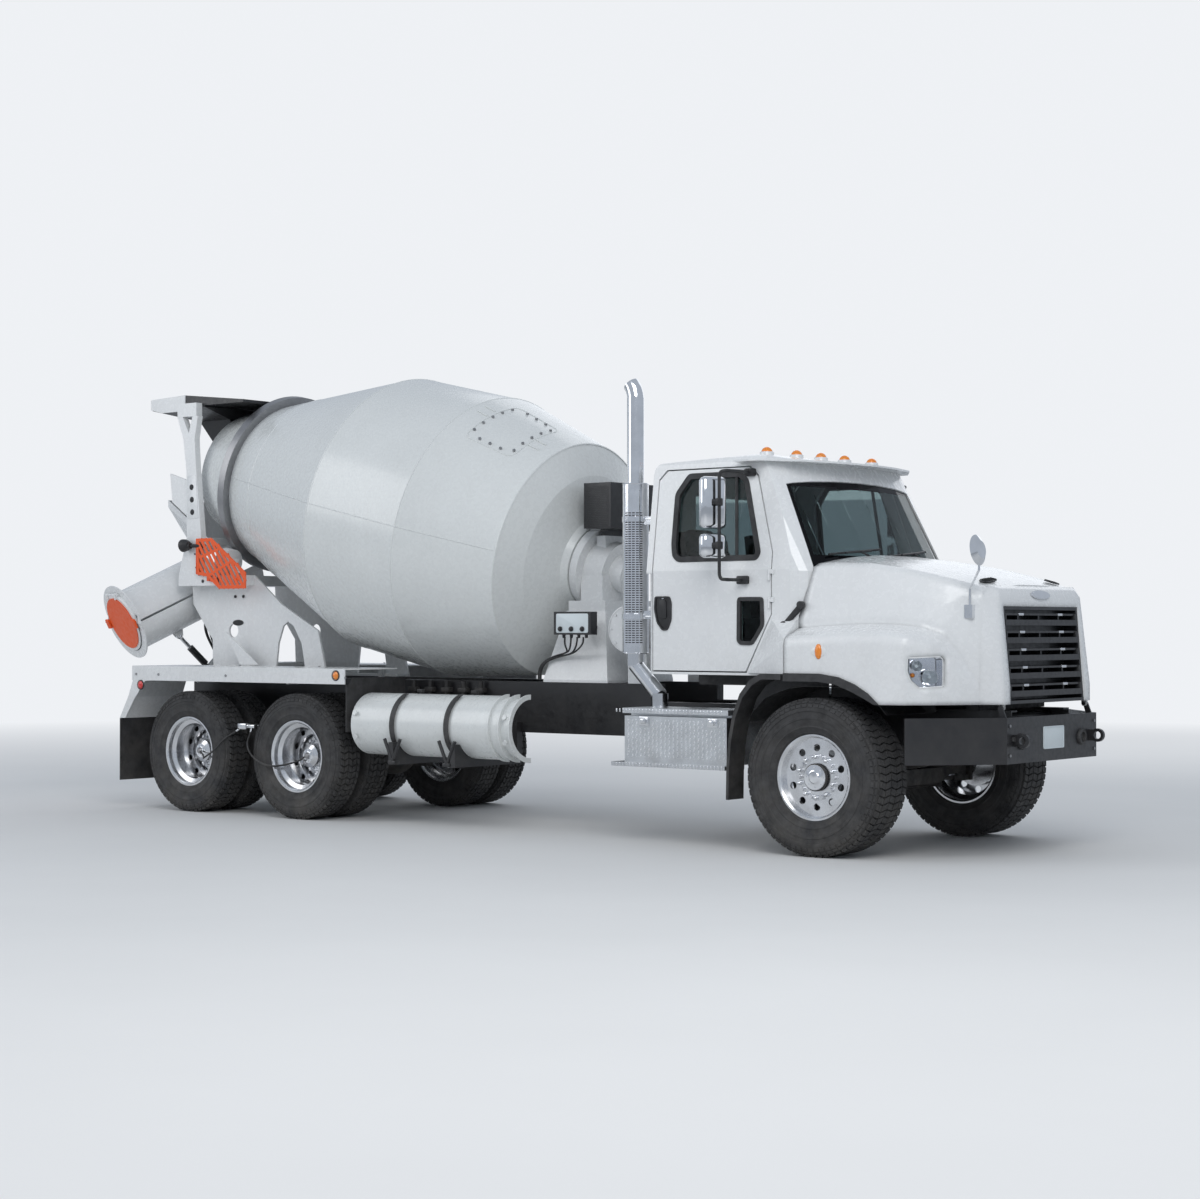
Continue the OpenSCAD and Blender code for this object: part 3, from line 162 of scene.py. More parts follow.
class MIXER_PG_colours(bpy.types.PropertyGroup):
    """Colours of the truck's finishes"""

    white: colour("White paint", (0.74, 0.75, 0.75), "Cab, hood and frame parts")
    drum: colour("Drum paint", (0.68, 0.70, 0.69), "Drum and stored chutes")
    black: colour("Black paint", (0.012, 0.012, 0.014), "Frame, bumper and brackets")
    orange: colour("Orange paint", (0.80, 0.095, 0.008), "Guards and chute cover")
    metal: colour("Polished metal", (0.80, 0.81, 0.83), "Wheels and bright trim")
    plate: colour("Tread plate", (0.66, 0.68, 0.70), "Steps and tool box")
    rubber: colour("Rubber", (0.022, 0.022, 0.023), "Tyres, flaps and gaskets")
    dust: colour("Road dust", (0.33, 0.30, 0.26), "Dust on the low parts")
    amber: colour("Amber lens", (0.90, 0.25, 0.01), "Marker and side lamps")
    red: colour("Red lens", (0.62, 0.015, 0.01), "Tail lamps")
    glass: colour("Glass", (0.38, 0.45, 0.45), "Window glass")
    floor: colour("Floor", (0.72, 0.72, 0.71), "The studio floor")


class MIXER_PG_sizes(bpy.types.PropertyGroup):
    """Sizes of the parts that this script makes"""

    tread_depth: length("Tread depth", 0.016, "Depth of the tyres' grooves")
    front_lugs: IntProperty(name="Front lugs", description="Blocks round a front tyre", default=66)
    rear_lugs: IntProperty(name="Rear lugs", description="Blocks round a rear tyre", default=60)
    weld: length("Weld", 0.006, "Half width of the drum's weld beads")
    bolt: length("Bolt", 0.011, "Radius of the small bolt heads")
    gasket: length("Gasket", 0.022, "Width of the window gaskets")


# Shapes

def at(x, y, z):
    """A place with x measured from the front axle, in the part's own frame"""
    return Vector((x + AXLE_X, y, z))


def drum_at(s, radius, turn):
    """A place on the drum: s back from its front seam, turn in degrees from its top"""
    side = Vector((0, 1, 0))
    top = DRUM_AXIS.cross(side).normalized()
    if top.z < 0:
        top = -top
    angle = math.radians(turn)
    return DRUM_SEAM + DRUM_AXIS * s + (top * math.cos(angle) + side * math.sin(angle)) * radius


def aim(direction, twist=0.0):
    """A turn that takes local Z to the direction"""
    turn = Vector(direction).to_track_quat("Z", "Y").to_matrix().to_4x4()
    return turn @ Matrix.Rotation(math.radians(twist), 4, "Z")


def add_block(bm, low, high, edge=0.0, turn=None):
    """A box between two corners, with rounded edges, turned about its middle"""
    low, high = Vector(low), Vector(high)
    made = bmesh.ops.create_cube(bm, size=1.0)["verts"]
    bmesh.ops.scale(bm, vec=high - low, verts=made)
    if edge:
        edges = {e for v in made for e in v.link_edges}
        made = bmesh.ops.bevel(bm, geom=list(edges), offset=edge, segments=2, profile=0.5,
                               affect="EDGES", material=-1)["verts"]
    if turn is not None:
        bmesh.ops.transform(bm, matrix=turn, verts=made)
    bmesh.ops.translate(bm, vec=(low + high) / 2, verts=made)


def add_box(bm, middle, half, edge=0.0, turn=None):
    """A box about its middle, from half its sizes"""
    half = Vector(half)
    add_block(bm, middle - half, middle + half, edge, turn)


def add_side_block(bm, low, high, side, edge):
    """A box between two corners, given for the left, on either side of the truck"""
    near, far = sorted((side * low[1], side * high[1]))
    add_block(bm, at(low[0], near, low[2]), at(high[0], far, high[2]), edge)


def add_rod(bm, start, end, radius, sides=16, end_radius=None):
    """A round rod, or a cone, from start to end"""
    start, end = Vector(start), Vector(end)
    matrix = Matrix.Translation((start + end) / 2) @ aim(end - start)
    bmesh.ops.create_cone(bm, cap_ends=True, segments=sides, radius1=radius,
                          radius2=radius if end_radius is None else end_radius,
                          depth=(end - start).length, matrix=matrix)


def add_lathe(bm, outline, place, axis, steps=48, closed=False):
    """Spins an outline of (radius, height along the axis) round the axis at a place"""
    matrix = Matrix.Translation(place) @ aim(axis)
    verts = [bm.verts.new(matrix @ Vector((radius, 0, height))) for radius, height in outline]
    ends = verts + verts[:1] if closed else verts
    edges = [bm.edges.new(pair) for pair in zip(ends, ends[1:])]
    bmesh.ops.spin(bm, geom=verts + edges, cent=place, axis=axis, angle=math.tau, steps=steps,
                   use_merge=True)
    bmesh.ops.remove_doubles(bm, verts=[v for v in bm.verts if v.is_valid], dist=0.00002)


def add_bolts(bm, places, direction, radius, height):
    """Hexagonal bolt heads at places, standing along a direction"""
    step = Vector(direction).normalized() * height
    for place in places:
        add_rod(bm, Vector(place) - step * 0.4, Vector(place) + step, radius, 6)


def lift_faces(bm, faces, lift, keep=False):
    """Gives faces a thickness along lift, and returns the corners that were lifted"""
    made = bmesh.ops.extrude_face_region(bm, geom=faces, use_keep_orig=keep)["geom"]
    verts = [v for v in made if isinstance(v, bmesh.types.BMVert)]
    bmesh.ops.translate(bm, vec=lift, verts=verts)
    return verts


def add_frame(bm, outline, width, depth, lift):
    """A gasket: the rim of a flat outline of 3D points, with a width inwards and a depth along lift"""
    face = bm.faces.new([bm.verts.new(p) for p in outline])
    face.normal_update()
    bmesh.ops.inset_individual(bm, faces=[face], thickness=width, use_even_offset=True)
    ring = [f for f in bm.faces if f is not face and any(v in face.verts for v in f.verts)]
    bmesh.ops.delete(bm, geom=[face], context="FACES_ONLY")
    lift_faces(bm, ring, Vector(lift).normalized() * depth, True)


def cab_y(z):
    """Half width of the cab's side at a height"""
    return CAB_HALF - max(0.0, z - CAB_WAIST) * CAB_LEAN


def on_cab(outline, side, out=0.0):
    """Takes an outline of (x, z) to the cab's side"""
    return [at(x, side * (cab_y(z) + out), z) for x, z in outline]


def upright(outline, y):
    """Takes an outline of (x, z) to the upright plane at y"""
    return [at(x, y, z) for x, z in outline]


def grown(outline, amount):
    """Moves the points of a flat outline away from its middle"""
    middle = sum((Vector(p) for p in outline), Vector((0, 0))) / len(outline)
    return [Vector(p) + (Vector(p) - middle).normalized() * amount for p in outline]


def rounded(corners, radius, steps=4):
    """An outline with its corners rounded"""
    points = []
    for before, corner, after in zip(corners[-1:] + corners[:-1], corners, corners[1:] + corners[:1]):
        before, corner, after = Vector(before), Vector(corner), Vector(after)
        cut = min(radius, (before - corner).length * 0.45, (after - corner).length * 0.45)
        start = corner + (before - corner).normalized() * cut
        end = corner + (after - corner).normalized() * cut
        for k in range(steps + 1):
            t = k / steps
            points.append(start * (1 - t) ** 2 + corner * 2 * t * (1 - t) + end * t ** 2)
    return points


def panel(low, high, radius, steps=4):
    """A rectangle between two corners, with its corners rounded"""
    return rounded([low, (high[0], low[1]), high, (low[0], high[1])], radius, steps)


def oval(middle, half_wide, half_high, steps=28):
    """An ellipse of 2D points"""
    return [(middle[0] + half_wide * math.cos(math.tau * k / steps),
             middle[1] + half_high * math.sin(math.tau * k / steps)) for k in range(steps)]


def add_plate(bm, points, lift, edge=0.0):
    """A plate: an outline of 3D points, thickened along lift, with rounded edges"""
    face = bm.faces.new([bm.verts.new(p) for p in points])
    verts = lift_faces(bm, [face], lift)
    if edge:
        rim = list({e for v in verts for e in v.link_edges if e.other_vert(v) in verts})
        bmesh.ops.bevel(bm, geom=rim, offset=edge, segments=2, profile=0.5, affect="EDGES", material=-1)


def add_rim(bm, points, radius):
    """A round bead along a closed path"""
    for start, end in zip(points, points[1:] + points[:1]):
        add_rod(bm, start, end, radius, 8)


def add_dome(bm, place, radii, direction, segments):
    """Half an ellipsoid that stands on a place: two radii across and one along the direction"""
    made = bmesh.ops.create_uvsphere(bm, u_segments=segments, v_segments=12, radius=1.0)["verts"]
    low = [v for v in made if v.co.z < -0.01]
    bmesh.ops.delete(bm, geom=low, context="VERTS")
    made = [v for v in made if v.is_valid]
    matrix = Matrix.Translation(place) @ aim(direction) @ Matrix.Diagonal((*radii, 1.0))
    bmesh.ops.transform(bm, matrix=matrix, verts=made)


def add_strap(bm, place, radius, width, thick, first, last):
    """Part of a ring round a lengthwise axis, from one angle to another in degrees from its top"""
    axis = Vector((1, 0, 0))
    start = Matrix.Rotation(math.radians(first), 3, axis) @ Vector((0, 0, 1))
    corners = [(radius, -width / 2), (radius + thick, -width / 2), (radius + thick, width / 2),
               (radius, width / 2)]
    face = bm.faces.new([bm.verts.new(place + start * r + axis * w) for r, w in corners])
    bmesh.ops.spin(bm, geom=[face], cent=place, axis=axis, angle=math.radians(last - first), steps=24)


def add_lozenge(bm, place, direction, twist):
    """One raised lozenge of tread plate"""
    size = Matrix.Diagonal((0.0125, 0.0045, 0.0016, 1.0))
    bmesh.ops.create_cone(bm, cap_ends=True, segments=8, radius1=1.0, radius2=0.55, depth=1.0,
                          matrix=Matrix.Translation(place) @ aim(direction, twist) @ size)


def finish_piece(name, bm, finish, body, smooth=35):
    """Turns a bmesh into a piece that rides on a body"""
    bmesh.ops.recalc_face_normals(bm, faces=bm.faces)
    mesh = bpy.data.meshes.new(name)
    bm.to_mesh(mesh)
    bm.free()
    for face in mesh.polygons:
        face.use_smooth = True
    mesh.set_sharp_from_angle(angle=math.radians(smooth))
    return dress(bpy.data.objects.new(name, mesh), finish, body)


def dress(piece, finish, body):
    """Gives a piece its finish and the body that it rides on, and links it into the scene"""
    piece.data.materials.append(FINISH[finish])
    bpy.context.scene.collection.objects.link(piece)
    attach(piece, body)
    return piece


def soften(path, rounds=3):
    """Cuts the corners of a path and keeps its ends"""
    for _ in range(rounds):
        inner = [a.lerp(b, t) for a, b in zip(path, path[1:]) for t in (0.25, 0.75)]
        path = [path[0], *inner, path[-1]]
    return path


def tube(name, points, radius, finish, body):
    """A bent pipe through softened points"""
    path = soften([Vector(p) for p in points])
    data = bpy.data.curves.new(name, "CURVE")
    data.dimensions = "3D"
    data.bevel_depth = radius
    data.bevel_resolution = 3
    data.use_fill_caps = True
    spline = data.splines.new("POLY")
    spline.points.add(len(path) - 1)
    for point, place in zip(spline.points, path):
        point.co = (*place, 1.0)
    return dress(bpy.data.objects.new(name, data), finish, body)


def hose(name, points, radius):
    """A rubber hose between two places on the chassis, points as in at()"""
    places = [at(*p) for p in points]
    piece = tube(name, places, radius, "rubber", "chassis")
    path = soften(places)
    run = sum((b - a).length for a, b in zip(path, path[1:]))
    tuple(path[0])


# Finishes

class Shader:
    """Builds a material's nodes, from left to right"""

    def __init__(self, name):
        self.material = bpy.data.materials.new(name)
        self.material.use_nodes = True
        self.tree = self.material.node_tree
        self.skin = self.tree.nodes["Principled BSDF"]
        self.place = self.tree.nodes.new("ShaderNodeTexCoord").outputs["Object"]

    def node(self, kind, inputs=(), **settings):
        made = self.tree.nodes.new("ShaderNode" + kind)
        for key, value in settings.items():
            setattr(made, key, value)
        for key, value in dict(inputs).items():
            self.feed(made.inputs[key], value)
        return made

    def feed(self, socket, value):
        if isinstance(value, bpy.types.NodeSocket):
            self.tree.links.new(value, socket)
        else:
            socket.default_value = value

    def apply(self, name, value):
        """Sets or feeds one input of the finish's own shader"""
        self.feed(self.skin.inputs[name], value)

    def noise(self, scale, detail=4.0, rough=0.55, place=None):
        return self.node("TexNoise", {"Vector": place or self.place, "Scale": scale, "Detail": detail,
                                      "Roughness": rough}).outputs["Fac"]

    def remap(self, value, low, high, to_low=0.0, to_high=1.0):
        return self.node("MapRange", {"Value": value, "From Min": low, "From Max": high,
                                      "To Min": to_low, "To Max": to_high}).outputs["Result"]

    def math(self, operation, first, second=0.0):
        return self.node("Math", {0: first, 1: second}, operation=operation).outputs[0]

    def mix(self, amount, first, second):
        made = self.node("Mix", data_type="RGBA")
        self.feed(made.inputs["Factor"], amount)
        self.feed(made.inputs["A"], first)
        self.feed(made.inputs["B"], second)
        return made.outputs["Result"]

    def stretch(self, factors):
        return self.node("Mapping", {"Vector": self.place, "Scale": factors}).outputs["Vector"]

    def bump(self, height, strength, distance, soft=0.0):
        made = self.node("Bump", {"Height": height, "Strength": strength, "Distance": distance})
        if soft:
            self.feed(made.inputs["Normal"], self.softened(soft))
        self.apply("Normal", made.outputs["Normal"])

    def softened(self, radius):
        """The surface's direction with its edges rounded off"""
        return self.node("Bevel", {"Radius": radius}, samples=8).outputs["Normal"]

    def axis(self, name):
        return self.node("SeparateXYZ", {"Vector": self.place}).outputs[name]


def rgba(values, factor=1.0):
    """A colour with its alpha, made lighter or darker by a factor"""
    return tuple(min(1.0, v * factor) for v in values) + (1.0,)


def dusty(shader, base, dust, low, high, most):
    """Lays road dust over a base colour, thickest at the height low and none above high"""
    fall = shader.remap(shader.axis("Z"), low, high, most, 0.0)
    patches = shader.remap(shader.noise(5.0, 8.0, 0.65), 0.35, 0.68)
    amount = shader.math("MULTIPLY", fall, patches)
    return shader.mix(amount, base, dust), amount


def paint(name, base, dust, gloss=0.22, coat=0.45, dust_top=1.6, most=0.3, tone=0.03, streak=0.05,
          soft=0.0):
    """Painted metal with a little tone variation, low dust and fine orange peel"""
    shader = Shader(name)
    tones = shader.mix(shader.remap(shader.noise(1.3, 5.0), 0.35, 0.65), rgba(base, 1 - tone),
                       rgba(base, 1 + tone * 0.4))
    streaks = shader.remap(shader.noise(9.0, 6.0, 0.6, shader.stretch((1.0, 1.0, 0.12))), 0.52, 0.75, 0.0,
                           streak)
    tones = shader.mix(streaks, tones, rgba(dust))
    covered, amount = dusty(shader, tones, rgba(dust), 0.2, dust_top, most)
    shader.apply("Base Color", covered)
    fine = shader.remap(shader.noise(26.0, 4.0), 0.3, 0.7, gloss * 0.8, gloss * 1.5)
    shader.apply("Roughness", shader.math("ADD", fine, shader.math("MULTIPLY", amount, 0.5)))
    shader.apply("Coat Weight", coat)
    shader.apply("Coat Roughness", 0.16)
    shader.bump(shader.noise(160.0, 2.0), 0.05, 0.002, soft)
    if soft:
        shader.apply("Coat Normal", shader.softened(soft))
    return shader.material


def bright(name, base, rough=0.16, stretch=(1.0, 1.0, 1.0), dust=None, scratch=0.05):
    """Polished or brushed metal with fine scratches"""
    shader = Shader(name)
    clouds = shader.remap(shader.noise(7.0, 6.0), 0.3, 0.7)
    tones = shader.mix(clouds, rgba(base, 0.86), rgba(base, 1.06))
    if dust is not None:
        tones, _ = dusty(shader, tones, rgba(dust), 0.1, 1.2, 0.45)
    shader.apply("Base Color", tones)
    lines = shader.noise(90.0, 3.0, 0.5, shader.stretch(stretch))
    shader.apply("Roughness", shader.remap(lines, 0.25, 0.75, rough * 0.7, rough * 1.9))
    shader.apply("Metallic", 1.0)
    shader.bump(lines, scratch, 0.001)
    return shader.material


def rubbery(name, base, dust, most=0.55, top=1.3, rough=0.78):
    """Rubber with dust in its patches and a grainy skin"""
    shader = Shader(name)
    tones = shader.mix(shader.remap(shader.noise(14.0, 6.0), 0.3, 0.7), rgba(base, 0.8), rgba(base, 1.9))
    covered, _ = dusty(shader, tones, rgba(dust, 0.6), 0.0, top, most)
    shader.apply("Base Color", covered)
    grain = shader.remap(shader.noise(30.0, 4.0), 0.3, 0.7, rough - 0.12, rough + 0.12)
    shader.apply("Roughness", grain)
    shader.bump(shader.noise(220.0, 4.0), 0.25, 0.003)
    return shader.material


def lens(name, base):
    """A coloured lamp lens with moulded ribs"""
    shader = Shader(name)
    ribs = shader.node("TexWave", {"Vector": shader.place, "Scale": 160.0, "Distortion": 0.4},
                       bands_direction="X").outputs["Fac"]
    shader.apply("Base Color", shader.mix(ribs, rgba(base, 0.8), rgba(base, 1.2)))
    shader.apply("Roughness", shader.remap(shader.noise(40.0), 0.3, 0.7, 0.06, 0.2))
    shader.apply("Coat Weight", 1.0)
    shader.apply("Subsurface Weight", 0.15)
    shader.bump(ribs, 0.3, 0.002)
    return shader.material


def clear_lens(name):
    """A clear lamp lens with faint haze"""
    shader = Shader(name)
    haze = shader.remap(shader.noise(9.0, 6.0), 0.4, 0.8, 0.0, 0.12)
    shader.apply("Base Color", shader.mix(haze, (0.97, 0.98, 1.0, 1), (0.8, 0.8, 0.78, 1)))
    shader.apply("Roughness", shader.remap(shader.noise(30.0), 0.3, 0.7, 0.0, 0.04))
    shader.apply("Transmission Weight", 1.0)
    shader.apply("IOR", 1.15)
    return shader.material


def window_glass(name, base, frit):
    """Tinted glass; the windscreen's edge has a black printed band"""
    shader = Shader(name)
    smears = shader.remap(shader.noise(3.0, 8.0, 0.6), 0.45, 0.8, 0.0, 0.25)
    tint = shader.mix(smears, rgba(base), rgba(base, 0.85))
    if frit:
        up = shader.axis("Z")
        out = shader.math("ABSOLUTE", shader.axis("Y"))
        low = shader.math("LESS_THAN", up, FRIT_LOW)
        high = shader.math("GREATER_THAN", up, FRIT_HIGH)
        leaned = shader.math("ADD", out, shader.math("MULTIPLY", up, FRIT_LEAN))
        edge = shader.math("GREATER_THAN", leaned, FRIT_SIDE)
        front = shader.math("GREATER_THAN", shader.axis("X"), AXLE_X - 1.0)
        band = shader.math("MULTIPLY", shader.math("MAXIMUM", shader.math("MAXIMUM", low, high), edge), front)
        shader.apply("Base Color", shader.mix(band, tint, (0.004, 0.004, 0.005, 1)))
        shader.apply("Transmission Weight", shader.remap(band, 0.0, 1.0, 1.0, 0.0))
    else:
        shader.apply("Base Color", tint)
        shader.apply("Transmission Weight", 1.0)
    shader.apply("Roughness", shader.remap(shader.noise(12.0), 0.4, 0.8, 0.0, 0.05))
    shader.apply("IOR", 1.2)
    return shader.material


def make_finishes(colours):
    """Every finish of the truck, by name"""
    dust = colours.dust
    return {
        "white": paint("White paint", colours.white, dust),
        "hood": paint("Hood paint", colours.white, dust, soft=0.060),
        "drum": paint("Drum paint", colours.drum, dust, gloss=0.24, dust_top=2.0, most=0.2),
        "black": paint("Black paint", colours.black, dust, gloss=0.34, coat=0.25, most=0.07, tone=0.2,
                       streak=0.0),
        "cast": paint("Cast black", colours.black, dust, gloss=0.5, coat=0.0, tone=0.3, streak=0.02),
        "orange": paint("Orange paint", colours.orange, dust, gloss=0.4, coat=0.1, dust_top=2.6, most=0.04,
                        streak=0.0),
        "wheel": bright("Polished aluminium", colours.metal, 0.17, (6.0, 1.0, 6.0), dust),
        "chrome": bright("Chrome", colours.metal, 0.06),
        "stack": bright("Stack chrome", colours.metal, 0.09, (1.0, 1.0, 8.0)),
        "plate": bright("Tread plate", colours.plate, 0.28, (1.0, 1.0, 12.0), dust, 0.12),
        "steel": bright("Rolled steel", (0.36, 0.36, 0.37), 0.3, (12.0, 1.0, 1.0), dust, 0.15),
        "tyre": rubbery("Tyre rubber", colours.rubber, dust, 0.3),
        "rubber": rubbery("Black rubber", colours.rubber, dust, 0.3, 1.4, 0.62),
        "plastic": rubbery("Black plastic", (0.014, 0.014, 0.015), dust, 0.12, 1.6, 0.45),
        "amber": lens("Amber lens", colours.amber),
        "red": lens("Red lens", colours.red),
        "screen": window_glass("Windscreen", colours.glass, True),
        "glass": window_glass("Door glass", colours.glass, False),
        "mirror": bright("Mirror glass", (0.75, 0.78, 0.80), 0.02, scratch=0.0),
        "label": paint("Pale plate", (0.62, 0.68, 0.70), dust, gloss=0.35, coat=0.1, most=0.1),
        "clear": clear_lens("Clear lens"),
        "seat": rubbery("Cushion cloth", (0.05, 0.05, 0.055), dust, 0.1, 1.6, 0.85),
    }


NODE_FINISH = {
    "white": ("cab_shell", "sun_visor", "front_pedestal", "drum_drive", "rear_pedestal", "charge_hopper",
              "collector", "rear_decks", "door_r", "door_l", "chute_bracket", "chute_main",
              "chute_fold"),
    "hood": ("hood_shell",),
    "drum": ("drum_shell", "stored_chutes"),
    "black": ("frame_rails", "bumper", "oil_cooler", "control_box", "hopper_spout", "grille", "lift_barrel"),
    "cast": ("front_axle", "rear_axles", "driveline", "knuckle_r", "knuckle_l", "tie_rod"),
    "orange": ("roller_guards", "chute_cover"),
    "wheel": ("front_rim_r", "front_rim_l", "rear_rims_1r", "rear_rims_1l", "rear_rims_2r", "rear_rims_2l"),
    "chrome": ("lift_rod", "hood_mirrors", "hood_lamps"),
    "stack": ("exhaust_stack",),
    "plate": ("step_box", "fuel_tank"),
    "steel": ("drum_ring",),
    "rubber": ("mudguards", "arch_flares"),
    "plastic": ("mirror_r", "mirror_l"),
    "seat": ("cab_interior",),
    "amber": ("marker_lamps",),
    "screen": ("cab_glass",),
    "glass": ("door_glass_r", "door_glass_l"),
    "tyre": ("front_tyre_r", "front_tyre_l", "rear_tyres_1r", "rear_tyres_1l", "rear_tyres_2r",
             "rear_tyres_2l"),
}
FINISH = {}


class MIXER_OT_finishes(bpy.types.Operator):
    """Make the finishes and put them on the CAD parts"""

    bl_idname = "mixer.finishes"
    bl_label = "Finishes"

    def execute(self, context):
        FINISH.update(make_finishes(context.scene.mixer_colours))
        for finish, names in NODE_FINISH.items():
            for name in names:
                if name in NODES:
                    mesh = NODES[name].data
                    mesh.materials.clear()
                    mesh.materials.append(FINISH[finish])
        bare = [name for name in NODES if not NODES[name].data.materials
                or NODES[name].data.materials[0] not in FINISH.values()]
        if bare:
            raise RuntimeError("no finish for " + ", ".join(bare))
        return {"FINISHED"}


def make_tyre(bm, centre, side, radius, width, rim_radius, lugs, depth):
    """A radial truck tyre with blocks across its tread"""
    base = radius - depth
    half = width / 2
    tread = [-0.40, -0.25, -0.085, 0.085, 0.25, 0.40]
    wall = [(rim_radius, 0.33), (rim_radius + 0.012, 0.37), (rim_radius + 0.022, 0.415),
            (rim_radius + 0.026, 0.425), (rim_radius + 0.032, 0.425), (rim_radius + 0.036, 0.432),
            (rim_radius + 0.06, 0.458), (rim_radius + 0.064, 0.470), (rim_radius + 0.070, 0.470),
            (rim_radius + 0.074, 0.466), (rim_radius + 0.10, 0.482), (rim_radius + 0.118, 0.486),
            (rim_radius + 0.122, 0.496), (rim_radius + 0.136, 0.498), (rim_radius + 0.140, 0.489),
            (base - 0.078, 0.488), (base - 0.074, 0.499), (base - 0.066, 0.499),
            (base - 0.05, 0.490), (base - 0.022, 0.462), (base - 0.004, 0.425)]
    outline = [(r, k * width) for r, k in wall] + [(base, k * width) for k in reversed(tread)]
    outline += [(r, -k * width) for r, k in reversed(wall)]
    before = set(bm.faces)
    add_lathe(bm, outline, centre, Vector((0, side, 0)), lugs)
    new = [f for f in bm.faces if f not in before]

    def faces_between(low, high, near, far):
        """Faces by the distance of their middle from the axle, and from the tyre's middle plane"""
        for face in new:
            middle = face.calc_center_median() - centre
            if low < math.hypot(middle.x, middle.z) < high and near < abs(middle.y) < far:
                yield face

    blocks = list(faces_between(base * math.cos(math.pi / lugs) - 0.002, radius, -1.0, half * 0.8))
    shoulder = list(faces_between(base - 0.052, base - 0.008, half * 0.85, half * 0.975))
    rows = {}
    for vert in {v for f in blocks for v in f.verts}:
        rows.setdefault(round((vert.co.y - centre.y) / width, 2), []).append(vert)
    for number, key in enumerate(sorted(rows)):
        turn = Matrix.Rotation(math.tau / lugs * (0.34 if number % 2 else 0.0), 3, "Y")
        bmesh.ops.rotate(bm, cent=centre, matrix=turn, verts=rows[key])
    bmesh.ops.inset_individual(bm, faces=shoulder, thickness=0.0040, depth=0.0)
    bmesh.ops.inset_individual(bm, faces=shoulder, thickness=0.0020, depth=0.0055)
    bmesh.ops.inset_individual(bm, faces=blocks, thickness=0.0045, depth=0.0)
    bmesh.ops.inset_individual(bm, faces=blocks, thickness=0.0025, depth=depth)


class MIXER_OT_tyres(bpy.types.Operator):
    """Tyres with tread blocks and ribbed side walls, in place of the plain ones"""

    bl_idname = "mixer.tyres"
    bl_label = "Tyres"

    def execute(self, context):
        sizes = context.scene.mixer_sizes
        for name in sorted(n for n in NODES if "_tyre" in n):
            low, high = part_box(name)
            side = 1 if (low.y + high.y) > 0 else -1
            front = name.startswith("front")
            radius = (high.z - low.z) / 2
            middle = Vector(((low.x + high.x) / 2, 0, (low.z + high.z) / 2))
            width = high.y - low.y if front else TWIN_WIDTH
            if front:
                rows = [(low.y + high.y) / 2]
            else:
                rows = [low.y + width / 2, high.y - width / 2]
            bm = bmesh.new()
            for row in rows:
                make_tyre(bm, Vector((middle.x, row, middle.z)), side, radius, width, RIM_SEAT,
                          sizes.front_lugs if front else sizes.rear_lugs, sizes.tread_depth)
            piece = finish_piece(name + "_tread", bm, "tyre", NODES[name]["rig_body"])
            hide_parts(name)
        return {"FINISHED"}


class MIXER_OT_drum_trim(bpy.types.Operator):
    """Weld beads, the bolted hatch and the bolts of the drum's drive"""

    bl_idname = "mixer.drum_trim"
    bl_label = "Drum trim"

    def execute(self, context):
        weld = context.scene.mixer_sizes.weld
        bm = bmesh.new()
        for s, radius in DRUM_SEAMS:
            outline = [(radius - weld, -1.6 * weld), (radius + weld * 0.6, -0.5 * weld),
                       (radius + weld * 0.6, 0.5 * weld), (radius - weld, 1.6 * weld)]
            add_lathe(bm, outline, DRUM_SEAM + DRUM_AXIS * s, DRUM_AXIS, 96, True)
        for turn in (-87, 33, 153):
            for (s0, r0), (s1, r1) in zip(DRUM_PROFILE, DRUM_PROFILE[1:]):
                add_rod(bm, drum_at(s0, r0, turn), drum_at(s1, r1, turn), weld * 0.7, 8)
        finish_piece("drum_welds", bm, "drum", "drum")
        self.hatch()
        bm = bmesh.new()
        for k in range(20):
            add_bolts(bm, [drum_at(-0.262, 0.296, k * 18)], DRUM_AXIS, 0.013, 0.012)
        finish_piece("drive_bolts", bm, "cast", "chassis")
        return {"FINISHED"}

    def hatch(self):
        """The raised rim, bolts and four bars of the hatch plate on the front cone"""
        def place(s, turn, out=0.0):
            return drum_at(s, DRUM_FRONT_R + (DRUM_R - DRUM_FRONT_R) * s / FRONT_CONE + out, turn)

        corners = [(0.235, -41.5), (0.235, -7.5), (0.70, -7.5), (0.70, -41.5)]
        flat = rounded([(s, turn * HATCH_SCALE) for s, turn in corners], 0.075, 6)
        path = []
        for start, end in zip(flat, flat[1:] + flat[:1]):
            pieces = max(1, round((end - start).length / 0.05))
            path += [start.lerp(end, k / pieces) for k in range(pieces)]
        bm = bmesh.new()
        add_rim(bm, [place(p.x, p.y / HATCH_SCALE) for p in path], 0.0055)
        for s, turn in ((0.83, -20.5), (0.823, -25.7), (0.223, -30.3), (0.224, -24.8)):
            add_rod(bm, place(s, turn, 0.004), place(s - 0.105, turn, 0.004), 0.0065, 8)
        finish_piece("hatch_rim", bm, "drum", "drum")
        bm = bmesh.new()
        bolts = [(0.262, t) for t in (-37.5, -31.3, -25.1, -18.9, -12.5)]
        bolts += [(0.672, t) for t in (-36.4, -30.7, -24.8, -19.0, -12.9)]
        bolts += [(s, t) for s in (0.365, 0.468, 0.57) for t in (-39.6, -9.4)]
        for s, turn in bolts:
            out = place(s, turn, 0.1) - place(s, turn)
            add_bolts(bm, [place(s, turn)], out, 0.0125, 0.016)
        finish_piece("hatch_bolts", bm, "steel", "drum")


